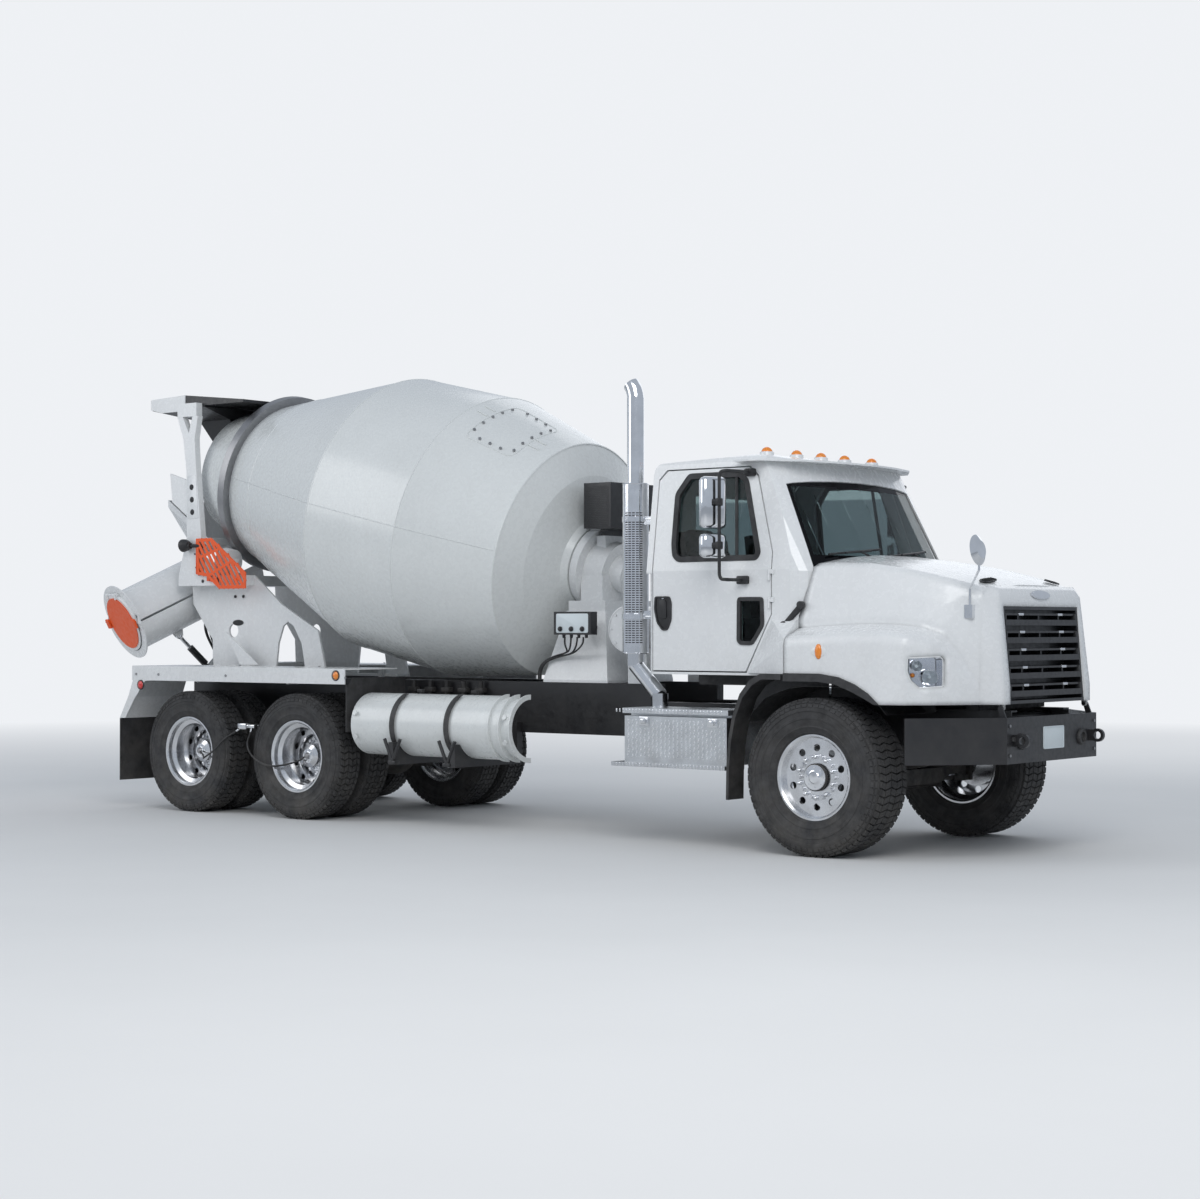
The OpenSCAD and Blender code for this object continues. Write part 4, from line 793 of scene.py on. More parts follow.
class MIXER_OT_doors(bpy.types.Operator):
    """Gaskets, window dividers, door handles and the mirrors"""

    bl_idname = "mixer.doors"
    bl_label = "Doors and mirrors"

    def execute(self, context):
        gasket = context.scene.mixer_sizes.gasket
        for key, side in SIDES.items():
            body = NODES["door_" + key]["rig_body"]
            out = Vector((0, side, 0))
            bm = bmesh.new()
            window = [(-1.330, 2.110), (-1.345, 2.200), (-1.345, 2.560), (-1.240, 2.700), (-0.790, 2.700),
                      (-0.720, 2.640), (-0.570, 2.120), (-0.600, 2.070), (-1.280, 2.070)]
            lean = Vector((0, side, CAB_LEAN))
            outline = on_cab(rounded(grown(window, 0.014), 0.03, 3), side, -0.018)
            add_frame(bm, outline, gasket * 1.9, 0.024, lean)
            peep = [(-0.745, 1.500), (-0.745, 1.790), (-0.535, 1.790), (-0.535, 1.600), (-0.620, 1.475),
                    (-0.720, 1.475)]
            outline = on_cab(rounded(grown(peep, 0.016), 0.03, 3), side, -0.018)
            add_frame(bm, outline, gasket * 1.3, 0.026, out)
            low, high = at(-0.770, side * 1.003, 2.075), at(-0.825, side * 0.922, 2.69)
            add_rod(bm, low, high, 0.013, 10)
            finish_piece("window_gaskets_" + key, bm, "rubber", body)
            self.handle(key, side, body)
            self.mirror(key, side, body)
        return {"FINISHED"}

    def handle(self, key, side, body):
        """A recess with its rim, the paddle in it and the lock above"""
        out = Vector((0, side, 0))
        ring = [(-1.490, 1.815), (-1.355, 1.815), (-1.338, 1.770), (-1.338, 1.640), (-1.372, 1.566),
                (-1.420, 1.562), (-1.470, 1.620), (-1.496, 1.720)]
        bm = bmesh.new()
        outline = rounded(ring, 0.018)
        add_plate(bm, on_cab(outline, side, -0.001), out * 0.004, 0.0015)
        add_frame(bm, on_cab(outline, side, 0.0), 0.013, 0.009, out)
        paddle = rounded([(-1.452, 1.790), (-1.385, 1.790), (-1.380, 1.650), (-1.440, 1.650)], 0.02)
        add_plate(bm, on_cab(paddle, side, 0.002), out * 0.011, 0.004)
        finish_piece("door_handle_" + key, bm, "plastic", body)
        bm = bmesh.new()
        add_lathe(bm, [(0.001, 0.006), (0.008, 0.006), (0.010, 0.004), (0.010, 0.0)],
                  at(-1.418, side * 1.021, 1.802), out, 20)
        finish_piece("door_lock_" + key, bm, "chrome", body)

    def mirror(self, key, side, body):
        """A bent tube with two chrome heads, their glass and the feet, in place of the plain mirror"""
        path = [(-0.690, 0.925, 2.700), (-0.690, 1.150, 2.700), (-0.700, HEAD_Y, 2.700),
                (POLE_X, POLE_Y, 2.690), (POLE_X, POLE_Y, 2.600), (POLE_X, POLE_Y, 2.030),
                (POLE_X, POLE_Y, 1.930), (-0.700, HEAD_Y, 1.925), (-0.690, 1.150, 1.925),
                (-0.690, 1.040, 1.925)]
        arm = tube("mirror_arm_" + key, [at(x, side * y, z) for x, y, z in path], 0.0125, "plastic", body)
        bm = bmesh.new()
        add_side_block(bm, (-0.730, 0.925, 2.672), (-0.650, 0.975, 2.728), side, 0.010)
        add_side_block(bm, (-0.735, 1.020, 1.895), (-0.645, 1.066, 1.955), side, 0.010)
        for z in (2.475, 2.168):
            pole = at(POLE_X, side * POLE_Y, z)
            add_rod(bm, pole - Vector((0.070, 0, 0)), pole + Vector((0.005, 0, 0)), 0.020, 16)
            add_box(bm, pole, (0.020, 0.022, 0.028), 0.008)
        finish_piece("mirror_feet_" + key, bm, "plastic", body)
        bm = bmesh.new()
        glass = bmesh.new()
        for low_z, high_z in ((2.290, 2.660), (2.080, 2.255)):
            low = at(HEAD_BACK, side * HEAD_Y - HEAD_HALF, low_z)
            high = at(HEAD_FRONT, side * HEAD_Y + HEAD_HALF, high_z)
            add_block(bm, low, high, 0.032)
            flat = panel((low.y + 0.012, low_z + 0.012), (high.y - 0.012, high_z - 0.012), 0.025)
            add_plate(glass, [Vector((low.x - 0.002, y, z)) for y, z in flat], Vector((0.006, 0, 0)), 0.001)
        middle = at((HEAD_BACK + HEAD_FRONT) / 2, side * HEAD_Y, 0)
        turn = Matrix.Rotation(side * HEAD_TURN, 3, "Z")
        for part in (bm, glass):
            bmesh.ops.rotate(part, cent=middle, matrix=turn, verts=part.verts)
        finish_piece("mirror_heads_" + key, bm, "chrome", body, 50)
        finish_piece("mirror_glass_" + key, glass, "mirror", body)
        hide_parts("mirror_" + key)


class MIXER_OT_cab_trim(bpy.types.Operator):
    """Wipers, lamp bases and the cushions of the two seats"""

    bl_idname = "mixer.cab_trim"
    bl_label = "Cab trim"

    def execute(self, context):
        nose = [(0.0, -0.020), (0.3, -0.030), (0.6, -0.062), (0.78, -0.100), (0.9, -0.145), (0.97, -0.185)]

        def screen(y, z, out):
            """A place in front of the bowed windscreen"""
            for (y0, x0), (y1, x1) in zip(nose, nose[1:]):
                if y0 <= abs(y) <= y1:
                    x = x0 + (x1 - x0) * (abs(y) - y0) / (y1 - y0)
                    return at(x - (z - SCREEN_FOOT) * SCREEN_RAKE + out, y, z)
            raise ValueError("off the windscreen")

        bm = bmesh.new()
        for foot, tip, low, high in ((-0.10, -0.44, -0.76, -0.14), (0.62, 0.28, -0.06, 0.56)):
            add_lathe(bm, [(0.001, 0.03), (0.018, 0.03), (0.024, 0.022), (0.024, -0.02)],
                      screen(foot, 2.02, 0.0), (1, 0, 0.5), 16)
            add_rod(bm, screen(foot, 2.02, 0.03), screen(tip, 2.13, 0.045), 0.010, 8, 0.007)
            add_rod(bm, screen(low, 2.105, 0.016), screen(high, 2.155, 0.016), 0.008, 8)
            add_rod(bm, screen((low + tip) / 2, 2.12, 0.028), screen((high + tip) / 2, 2.14, 0.028), 0.008, 8)
        finish_piece("wipers", bm, "plastic", "chassis")
        bm = bmesh.new()
        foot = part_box("marker_lamps")[0].z + 0.012
        for y in (-0.72, -0.33, 0.0, 0.33, 0.72):
            add_lathe(bm, [(0.042, 0.018), (0.048, 0.018), (0.052, 0.012), (0.052, -0.03), (0.042, -0.03)],
                      at(-0.70, y, foot), (0, 0, 1), 32)
        finish_piece("lamp_bases", bm, "white", "chassis")
        for name, y in (("driver", 0.40), ("passenger", -0.49)):
            bm = bmesh.new()
            add_block(bm, at(-1.33, y - 0.275, 1.50), at(-0.85, y + 0.275, 1.655), 0.05)
            lean = Matrix.Rotation(math.radians(-7.5), 4, "Y")
            add_block(bm, at(-1.47, y - 0.265, 1.60), at(-1.30, y + 0.265, 2.17), 0.06, lean)
            add_block(bm, at(-1.53, y - 0.15, 2.12), at(-1.41, y + 0.15, 2.32), 0.045, lean)
            seat = finish_piece("cushion_" + name, bm, "seat", "chassis", 60)
        return {"FINISHED"}


class MIXER_OT_nose(bpy.types.Operator):
    """Headlamps, grille studs, side lamps, vents, latches and the blank badge"""

    bl_idname = "mixer.nose"
    bl_label = "Hood trim"

    def execute(self, context):
        self.headlamps()
        self.grille()
        bm, rings, latch = bmesh.new(), bmesh.new(), bmesh.new()
        for side in SIDES.values():
            out = Vector((0, side, 0))
            add_dome(bm, at(0.05, side * 1.196, 1.42), (0.030, 0.054, 0.020), out, 28)
            add_plate(rings, upright(oval((0.05, 1.42), 0.062, 0.037), side * 1.193), out * 0.009, 0.003)
            base, hook = at(-0.345, side * 1.016, 1.605), at(-0.205, side * 1.016, 1.745)
            turn = Matrix.Rotation(math.radians(-45), 4, "Y")
            add_box(latch, (base + hook) / 2, (0.11, 0.017, 0.020), 0.008, turn)
            for end in (base, hook):
                add_rod(latch, end - out * 0.004, end + out * 0.030, 0.026, 20)
        finish_piece("side_lamps", bm, "amber", "hood")
        finish_piece("side_lamp_rims", rings, "white", "hood")
        finish_piece("hood_latches", latch, "rubber", "hood")
        bm = bmesh.new()
        badge = Matrix.Translation(at(1.114, 0, 1.812)) @ aim((1, 0, 0.36))
        for size, depth, height in ((1.0, 0.004, 0.006), (0.86, 0.010, 0.004)):
            points = [badge @ Vector((x, y, depth)) for x, y in oval((0, 0), 0.140 * size, 0.033 * size, 36)]
            add_plate(bm, points, (badge.to_3x3() @ Vector((0, 0, 1))) * height, 0.0015)
        finish_piece("blank_badge", bm, "chrome", "hood")
        bm = bmesh.new()
        for side in SIDES.values():
            slope = (at(1.05, side * 0.42, 1.876) - at(0.94, side * 0.445, 1.913)).normalized()
            across = Vector((0, side, -0.11)).normalized()
            up = slope.cross(across) * (1 if slope.cross(across).z > 0 else -1)
            middle = at(0.965, side * 0.47, 1.909)
            outline = [middle + slope * x + across * y for x, y in oval((0, 0), 0.036, 0.105)]
            add_plate(bm, outline, up * 0.007, 0.002)
            for k in range(-3, 4):
                bar = middle + across * (k * 0.024) + up * 0.009
                add_rod(bm, bar - slope * 0.024, bar + slope * 0.024, 0.003, 6)
        finish_piece("hood_vents", bm, "plastic", "hood")
        return {"FINISHED"}

    def headlamps(self):
        """A chrome tub with two bowls, bulbs, an amber corner and a clear lens, for each side"""
        def skin(x, z, side, inset):
            """A place on the hood's bent corner, or set into it"""
            y = 1.150 - (x - 0.700) * 0.877 if x < 0.83 else 1.036 - (x - 0.83) * 1.327
            return at(x - inset * 0.66, side * (y - inset * 0.75), z)

        outline = [(0.716, 1.292), (0.720, 1.379), (0.830, 1.386), (0.877, 1.389), (0.890, 1.369),
                   (0.889, 1.188), (0.830, 1.182), (0.776, 1.178), (0.735, 1.227)]
        tub, bulbs, amber, lens_mesh, rim = (bmesh.new() for _ in range(5))
        inside = [Vector(p) * 0.94 + Vector((0.806, 1.285)) * 0.06 for p in outline]
        for side in SIDES.values():
            front = [tub.verts.new(skin(x, z, side, 0.003)) for x, z in outline]
            back = [tub.verts.new(skin(p.x, p.y, side, 0.070)) for p in inside]
            for a, b, c, d in zip(front, front[1:] + front[:1], back[1:] + back[:1], back):
                tub.faces.new((a, b, c, d))
            tub.faces.new(back[2:7])
            tub.faces.new(back[6:] + back[:3])
            outward = Vector((0.66, side * 0.75, 0))
            for x, z, radius in ((0.835, 1.250, 0.052), (0.770, 1.325, 0.036)):
                place = skin(x, z, side, 0.062)
                bowl = [(0.001, 0.006), (radius * 0.45, 0.010), (radius * 0.8, 0.028), (radius, 0.046),
                        (radius * 1.06, 0.046), (radius * 0.86, 0.020), (radius * 0.6, 0.0)]
                add_lathe(tub, bowl, place, outward, 32)
                add_lathe(bulbs, [(0.0005, 0.034), (0.007, 0.032), (0.009, 0.026), (0.009, 0.004)], place,
                          outward, 16)
            add_dome(amber, skin(0.752, 1.262, side, 0.062), (0.017, 0.017, 0.028), outward, 16)
            lens_face = [lens_mesh.verts.new(skin(x, z, side, 0.005)) for x, z in outline]
            halves = [lens_mesh.faces.new(lens_face[2:7]), lens_mesh.faces.new(lens_face[6:] + lens_face[:3])]
            lift_faces(lens_mesh, halves, outward * -0.003)
            add_rim(rim, [skin(x, z, side, 0.002) for x, z in outline], 0.0045)
        piece = finish_piece("headlamp_tubs", tub, "chrome", "hood")
        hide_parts("hood_lamps")
        finish_piece("headlamp_bulbs", bulbs, "label", "hood")
        finish_piece("turn_lamps", amber, "amber", "hood")
        finish_piece("headlamp_lenses", lens_mesh, "clear", "hood")
        finish_piece("headlamp_rims", rim, "white", "hood")

    def grille(self):
        """Bright studs on the slats and dark clips at their ends"""
        studs, clips = bmesh.new(), bmesh.new()
        for k in range(5):
            z = 1.182 + k * 0.122
            front = 1.160 - 0.010 * k
            for y in (-0.29, 0.29):
                add_box(studs, at(front + 0.0005, y, z + 0.007), (0.0065, 0.035, 0.009), 0.004)
            for y in (-0.520, 0.520):
                add_box(clips, at(front - 0.010, y, z - 0.027), (0.020, 0.012, 0.039), 0.005)
        finish_piece("grille_studs", studs, "chrome", "hood")
        finish_piece("grille_clips", clips, "plastic", "hood")


class MIXER_OT_shields(bpy.types.Operator):
    """Black splash shields over and beside the front wheels: one half on the hood, one on the cab"""

    bl_idname = "mixer.shields"
    bl_label = "Splash shields"

    def execute(self, context):
        hood_wall = [(-0.225, 0.985), (-0.225, 1.215), (0.560, 1.215), (0.640, 1.000), (0.520, 0.985)]
        cab_wall = [(-0.985, 0.960), (-0.960, 1.238), (-0.245, 1.238), (-0.245, 0.985), (-0.500, 0.985),
                    (-0.560, 0.880), (-0.690, 0.880)]
        sill = [(-1.540, 1.155), (-1.540, 1.240), (-0.980, 1.240), (-0.980, 1.155)]
        for key, side in SIDES.items():
            bm = bmesh.new()
            self.wall(bm, hood_wall, SHIELD_Y, side)
            self.arc(bm, 39, 111, side)
            finish_piece("splash_shield_" + key, bm, "plastic", "hood")
            bm = bmesh.new()
            self.wall(bm, cab_wall, SHIELD_Y, side)
            self.wall(bm, sill, 0.400, side)
            self.arc(bm, 112, 148, side)
            finish_piece("cab_liner_" + key, bm, "plastic", NODES["cab_shell"]["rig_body"])
        return {"FINISHED"}

    def wall(self, bm, outline, y, side):
        """An upright sheet beside the wheel"""
        add_plate(bm, upright(rounded(outline, 0.02, 3), side * y), Vector((0, side * SHEET, 0)))

    def arc(self, bm, first, last, side):
        """A sheet over the wheel, wider away from the top so that the steered tyre keeps clear"""
        rows = [[], []]
        for turn in range(first, last + 1, 6):
            radius = ARCH_R + ARCH_SPREAD * min(1.0, abs(turn - 90) / 40) ** 1.5
            reach = Vector((math.cos(math.radians(turn)), 0, math.sin(math.radians(turn)))) * radius
            for row, y in zip(rows, (SHIELD_Y + 0.004, ARCH_OUT)):
                row.append(bm.verts.new(at(0, side * y, ARCH_Z) + reach))
        inner, outer = rows
        faces = [bm.faces.new(corner) for corner in zip(inner, inner[1:], outer[1:], outer)]
        lift_faces(bm, faces, Vector((0, 0, SHEET)), True)


class MIXER_OT_bumper_trim(bpy.types.Operator):
    """Sockets, bolts and the blank plate on the bumper"""

    bl_idname = "mixer.bumper_trim"
    bl_label = "Bumper trim"

    def execute(self, context):
        forward = Vector((1, 0, 0))
        bm = bmesh.new()
        for y in (-0.465, 0.425):
            add_lathe(bm, [(0.001, 0.004), (0.034, 0.004), (0.036, 0.020), (0.052, 0.020), (0.056, 0.014),
                           (0.056, -0.002)], at(1.216, y, 0.808), forward, 36)
        add_block(bm, at(1.214, -0.605, 0.812), at(1.232, -0.52, 0.842), 0.006)
        finish_piece("bumper_sockets", bm, "rubber", "chassis")
        bm = bmesh.new()
        for y in (-0.632, 0.626):
            for z in (0.717, 0.918):
                add_bolts(bm, [at(1.216, y, z)], forward, 0.012, 0.009)
        finish_piece("bumper_bolts", bm, "steel", "chassis")
        bm = bmesh.new()
        plate = [at(1.217, y, z) for y, z in panel((-0.152, 0.744), (0.152, 0.900), 0.014, 3)]
        add_plate(bm, plate, forward * 0.004, 0.001)
        add_frame(bm, [p + forward * 0.003 for p in plate], 0.007, 0.004, forward)
        for y in (-0.105, 0.105):
            add_lathe(bm, [(0.001, 0.003), (0.006, 0.002), (0.007, 0.0)], at(1.221, y, 0.885), forward, 12)
        finish_piece("blank_plate", bm, "label", "chassis")
        return {"FINISHED"}


class MIXER_OT_stack_trim(bpy.types.Operator):
    """Clamps of the exhaust stack, its slots as dark marks (painted shade where the openings are) and a dark
    disc across its mouth (soot, and painted shade inside the pipe)
    """

    bl_idname = "mixer.stack_trim"
    bl_label = "Exhaust trim"

    def execute(self, context):
        # Slots drawn as thin dark boxes on the chrome: painted shade where the openings are
        bm = bmesh.new()
        for row in range(56):
            z = 1.475 + row * 0.0175
            for column in range(-2, 3):
                turn = math.radians(-62 + column * 17)
                out = Vector((math.cos(turn), math.sin(turn), 0))
                spin = Matrix.Rotation(turn, 4, "Z")
                add_box(bm, at(*STACK, z) + out * 0.0975, (0.0022, 0.0105, 0.0038), 0.0, spin)
        finish_piece("stack_slot_shade", bm, "cast", "chassis", 60)
        bm = bmesh.new()
        for z in (1.668, 2.392):
            add_lathe(bm, [(0.098, -0.022), (0.103, -0.020), (0.103, 0.020), (0.098, 0.022)],
                      at(*STACK, z), (0, 0, 1), 48)
            for y in (STACK.y - 0.022, STACK.y + 0.022):
                add_rod(bm, at(-1.660, y, z), at(-1.560, y, z), 0.010, 12)
            add_box(bm, at(-1.640, STACK.y, z), (0.015, 0.035, 0.020), 0.005)
        for z in (2.655, 1.395):
            add_lathe(bm, [(0.064, -0.004), (0.098, -0.004), (0.101, 0.0), (0.098, 0.006), (0.064, 0.006)],
                      at(*STACK, z), (0, 0, 1), 48)
        finish_piece("stack_clamps", bm, "chrome", "chassis")
        # A dark disc across the stack's mouth: soot, and painted shade inside the open pipe
        angle = math.radians(40)
        bend = 0.18
        tip = at(STACK.x - bend + bend * math.cos(angle), STACK.y, 3.290 + bend * math.sin(angle))
        along = Vector((-math.sin(angle), 0, math.cos(angle)))
        bm = bmesh.new()
        add_lathe(bm, [(0.0005, 0.0012), (0.057, 0.0012), (0.0575, -0.002)], tip, along, 40)
        finish_piece("stack_mouth_soot_and_shade", bm, "cast", "chassis")
        return {"FINISHED"}


class MIXER_OT_side_trim(bpy.types.Operator):
    """Lozenges and latches of the step box, tank straps, and the fittings of the stored chutes"""

    bl_idname = "mixer.side_trim"
    bl_label = "Side trim"

    def execute(self, context):
        self.steps()
        self.tank()
        self.chutes()
        return {"FINISHED"}

    def steps(self):
        """Lozenges on the box and its top, its latches and the teeth of its two tread edges"""
        bm = bmesh.new()
        for row in range(13):
            for column in range(24):
                x, z = -1.615 + column * 0.0372, 0.648 + row * 0.0215
                by_latch = -1.54 < x < -1.40 or -0.91 < x < -0.80
                if z > 0.85 and by_latch:
                    continue
                add_lozenge(bm, at(x, STEP_FACE, z), (0, -1, 0), 90 * ((row + column) % 2) - 45)
        for row in range(5):
            for column in range(22):
                turn = 90 * ((row + column) % 2) - 45
                place = at(-1.615 + column * 0.0405, -1.165 + row * 0.078, STEP_TOP)
                add_lozenge(bm, place, (0, 0, 1), turn)
        finish_piece("step_lozenges", bm, "wheel", "chassis", 60)
        bm = bmesh.new()
        for x in (-1.470, -0.855):
            plate = panel((x - 0.045, 0.870), (x + 0.045, 0.935), 0.008, 3)
            add_plate(bm, upright(plate, STEP_FACE + 0.0005), Vector((0, -0.006, 0)), 0.002)
            add_block(bm, at(x - 0.022, -1.204, 0.885), at(x + 0.022, -1.185, 0.921), 0.006)
        for z in (0.585, 0.979):
            for k in range(32):
                tooth = at(-0.760 - k * 0.0305, TREAD_EDGE + 0.0014, z)
                add_box(bm, tooth, (0.006, 0.0026, 0.012), 0.001)
        finish_piece("step_latches", bm, "wheel", "chassis")

    def tank(self):
        """Two straps round the fuel tank, and its filler cap"""
        low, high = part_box("fuel_tank")
        middle = Vector(((low.x + high.x) / 2, TANK_Y, TANK_Z))
        bm = bmesh.new()
        for step in (-0.3, 0.3):
            place = middle + Vector(((high.x - low.x) * step, 0, 0))
            add_strap(bm, place, TANK_R, 0.055, 0.004, -150, 100)
        add_rod(bm, Vector((high.x - 0.20, 0.98, 1.045)), Vector((high.x - 0.20, 1.03, 1.115)), 0.052, 32)
        finish_piece("tank_straps", bm, "wheel", "chassis")

    def chutes(self):
        """Straps, brackets and ears of the stored chutes, and the row of valves over the rail"""
        straps, brackets, ears, valves = (bmesh.new() for _ in range(4))
        for x in (-3.960, -3.380):
            add_strap(straps, at(x, STORED_Y, STORED_Z), 0.2645, 0.050, 0.004, 20, 175)
            add_box(straps, at(x, -0.88, 1.075), (0.030, 0.02, 0.015), 0.006)
        for x in (-3.944, -3.361):
            for spread in (-1, 1):
                add_rod(brackets, at(x, -1.232, 0.520), at(x + spread * 0.085, -1.232, 0.700), 0.014, 10)
            add_block(brackets, at(x - 0.04, -1.245, 0.500), at(x + 0.04, -1.190, 0.530), 0.006)
        low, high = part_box("stored_chutes")
        for x in (low.x + 0.05, high.x - 0.05):
            for turn in (70, 112):
                spin = math.radians(turn)
                out = Vector((0, -math.sin(spin), math.cos(spin)))
                axis = Vector((x, STORED_Y, STORED_Z))
                add_rod(ears, axis + out * 0.262, axis + out * 0.277, 0.020, 16)
        for k in range(5):
            x = -4.420 + k * 0.185
            add_rod(valves, at(x, -0.47, 1.020), at(x, -0.47, 1.150), 0.020, 12)
            add_box(valves, at(x, -0.47, 1.075), (0.045, 0.03, 0.02), 0.008)
        finish_piece("chute_straps", straps, "rubber", "chassis")
        finish_piece("chute_brackets", brackets, "black", "chassis")
        finish_piece("chute_ears", ears, "drum", "chassis")
        finish_piece("valve_row", valves, "cast", "chassis")


class MIXER_OT_drive_trim(bpy.types.Operator):
    """Fins of the oil cooler, rims of the water tank, and the control box's label, knobs and cables"""

    bl_idname = "mixer.drive_trim"
    bl_label = "Drive trim"

    def execute(self, context):
        low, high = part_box("oil_cooler")
        bm = bmesh.new()
        for face in (low.y - 0.001, high.y + 0.001):
            for k in range(26):
                z = low.z + 0.03 + k * (high.z - low.z - 0.06) / 25
                add_block(bm, Vector((low.x + 0.025, face - 0.002, z - 0.0022)),
                          Vector((high.x - 0.025, face + 0.002, z + 0.0022)))
        finish_piece("cooler_fins", bm, "plastic", "chassis", 60)
        bm = bmesh.new()
        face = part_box("control_box")[0].y
        label = panel((-2.745, 1.545), (-2.425, 1.695), 0.015)
        add_plate(bm, upright(label, face), Vector((0, -0.003, 0)), 0.001)
        finish_piece("control_label", bm, "label", "chassis")
        bm = bmesh.new()
        for k in range(3):
            add_lathe(bm, [(0.001, 0.024), (0.012, 0.022), (0.015, 0.012), (0.020, 0.010), (0.020, 0.0)],
                      at(-2.700 + k * 0.11, face - 0.002, 1.575), (0, -1, 0), 24)
        for k in range(4):
            add_lathe(bm, [(0.001, -0.026), (0.011, -0.026), (0.013, -0.004), (0.016, 0.0)],
                      at(-2.70 + k * 0.075, -0.600, 1.530), (0, 0, 1), 16)
        finish_piece("control_knobs", bm, "plastic", "chassis")
        for k in range(4):
            x = -2.690 + k * 0.062
            out, down = 0.0145 * (k % 2), 0.0145 * (k // 2)
            path = [(x, -0.600, 1.512), (x - 0.006, -0.598, 1.455),
                    (x * 0.4 - 1.650, -0.520 - out, 1.398 - down), (-2.830, -0.445 - out, 1.378 - down),
                    (-2.940, -0.425 - out, 1.357 - down), (-3.045 + down, -0.430 - out, 1.310),
                    (-3.085 + down, -0.436 - out, 1.240), (-3.092 + down, -0.428 - out, 1.168)]
            hose("control_cable_%d" % (k + 1), path, 0.007)
        bm = bmesh.new()
        for side in SIDES.values():
            add_lathe(bm, [(0.168, 0.004), (0.178, 0.002), (0.182, -0.008), (0.178, -0.018), (0.168, -0.018)],
                      at(WATER_X, side * 0.560, WATER_Z), (0, side, 0), 48)
            bolts = oval((WATER_X, WATER_Z), WATER_BOLTS, WATER_BOLTS, 8)
            add_bolts(bm, upright(bolts, side * 0.561), (0, side, 0), 0.010, 0.008)
        finish_piece("tank_rims", bm, "white", "chassis")
        return {"FINISHED"}


class MIXER_OT_wheel_trim(bpy.types.Operator):
    """Nut covers, hub caps and their dark seals"""

    bl_idname = "mixer.wheel_trim"
    bl_label = "Wheel trim"

    def execute(self, context):
        for name in sorted(n for n in NODES if "_rim" in n):
            low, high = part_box(name)
            middle = (low + high) / 2
            side = 1 if middle.y > 0 else -1
            out = Vector((0, side, 0))
            front = name.startswith("front")
            self.nuts(name, middle + out * (0.120 if front else 0.024), out)
            self.hub(name, middle + out * 0.150, out, 0.088 if front else 0.060)
        return {"FINISHED"}

    def nuts(self, name, place, out):
        """Ten domed covers in a ring"""
        ring, height, count = 0.143, 0.034, 10
        bm = bmesh.new()
        for k in range(count):
            turn = math.tau * (k + 0.5) / count
            foot = place + Vector((math.cos(turn), 0, math.sin(turn))) * ring
            add_rod(bm, foot - out * 0.004, foot + out * height * 0.55, 0.0185, 20)
            add_dome(bm, foot + out * height * 0.5, (0.0165, 0.0165, 0.016), out, 16)
        finish_piece(name + "_nuts", bm, "chrome", NODES[name]["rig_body"])

    def hub(self, name, place, out, reach):
        """The cap on the hub, with its ring of small bolts and the dark seal behind it"""
        caps, seals = bmesh.new(), bmesh.new()
        add_lathe(caps, [(0.0005, 0.012), (reach * 0.42, 0.011), (reach * 0.50, 0.004), (reach * 0.62, 0.002),
                         (reach * 0.96, 0.001), (reach, -0.004), (reach, -0.012)], place, out, 40)
        for k in range(8):
            turn = math.tau * k / 8
            foot = place + Vector((math.cos(turn), 0, math.sin(turn))) * reach * 0.79
            add_bolts(caps, [foot], out, 0.006, 0.006)
        add_lathe(seals, [(reach * 1.01, -0.006), (reach * 1.10, -0.010), (reach * 1.10, -0.022),
                          (reach, -0.024)], place, out, 40)
        finish_piece(name + "_cap", caps, "chrome", NODES[name]["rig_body"])
        finish_piece(name + "_seal", seals, "cast", NODES[name]["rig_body"])


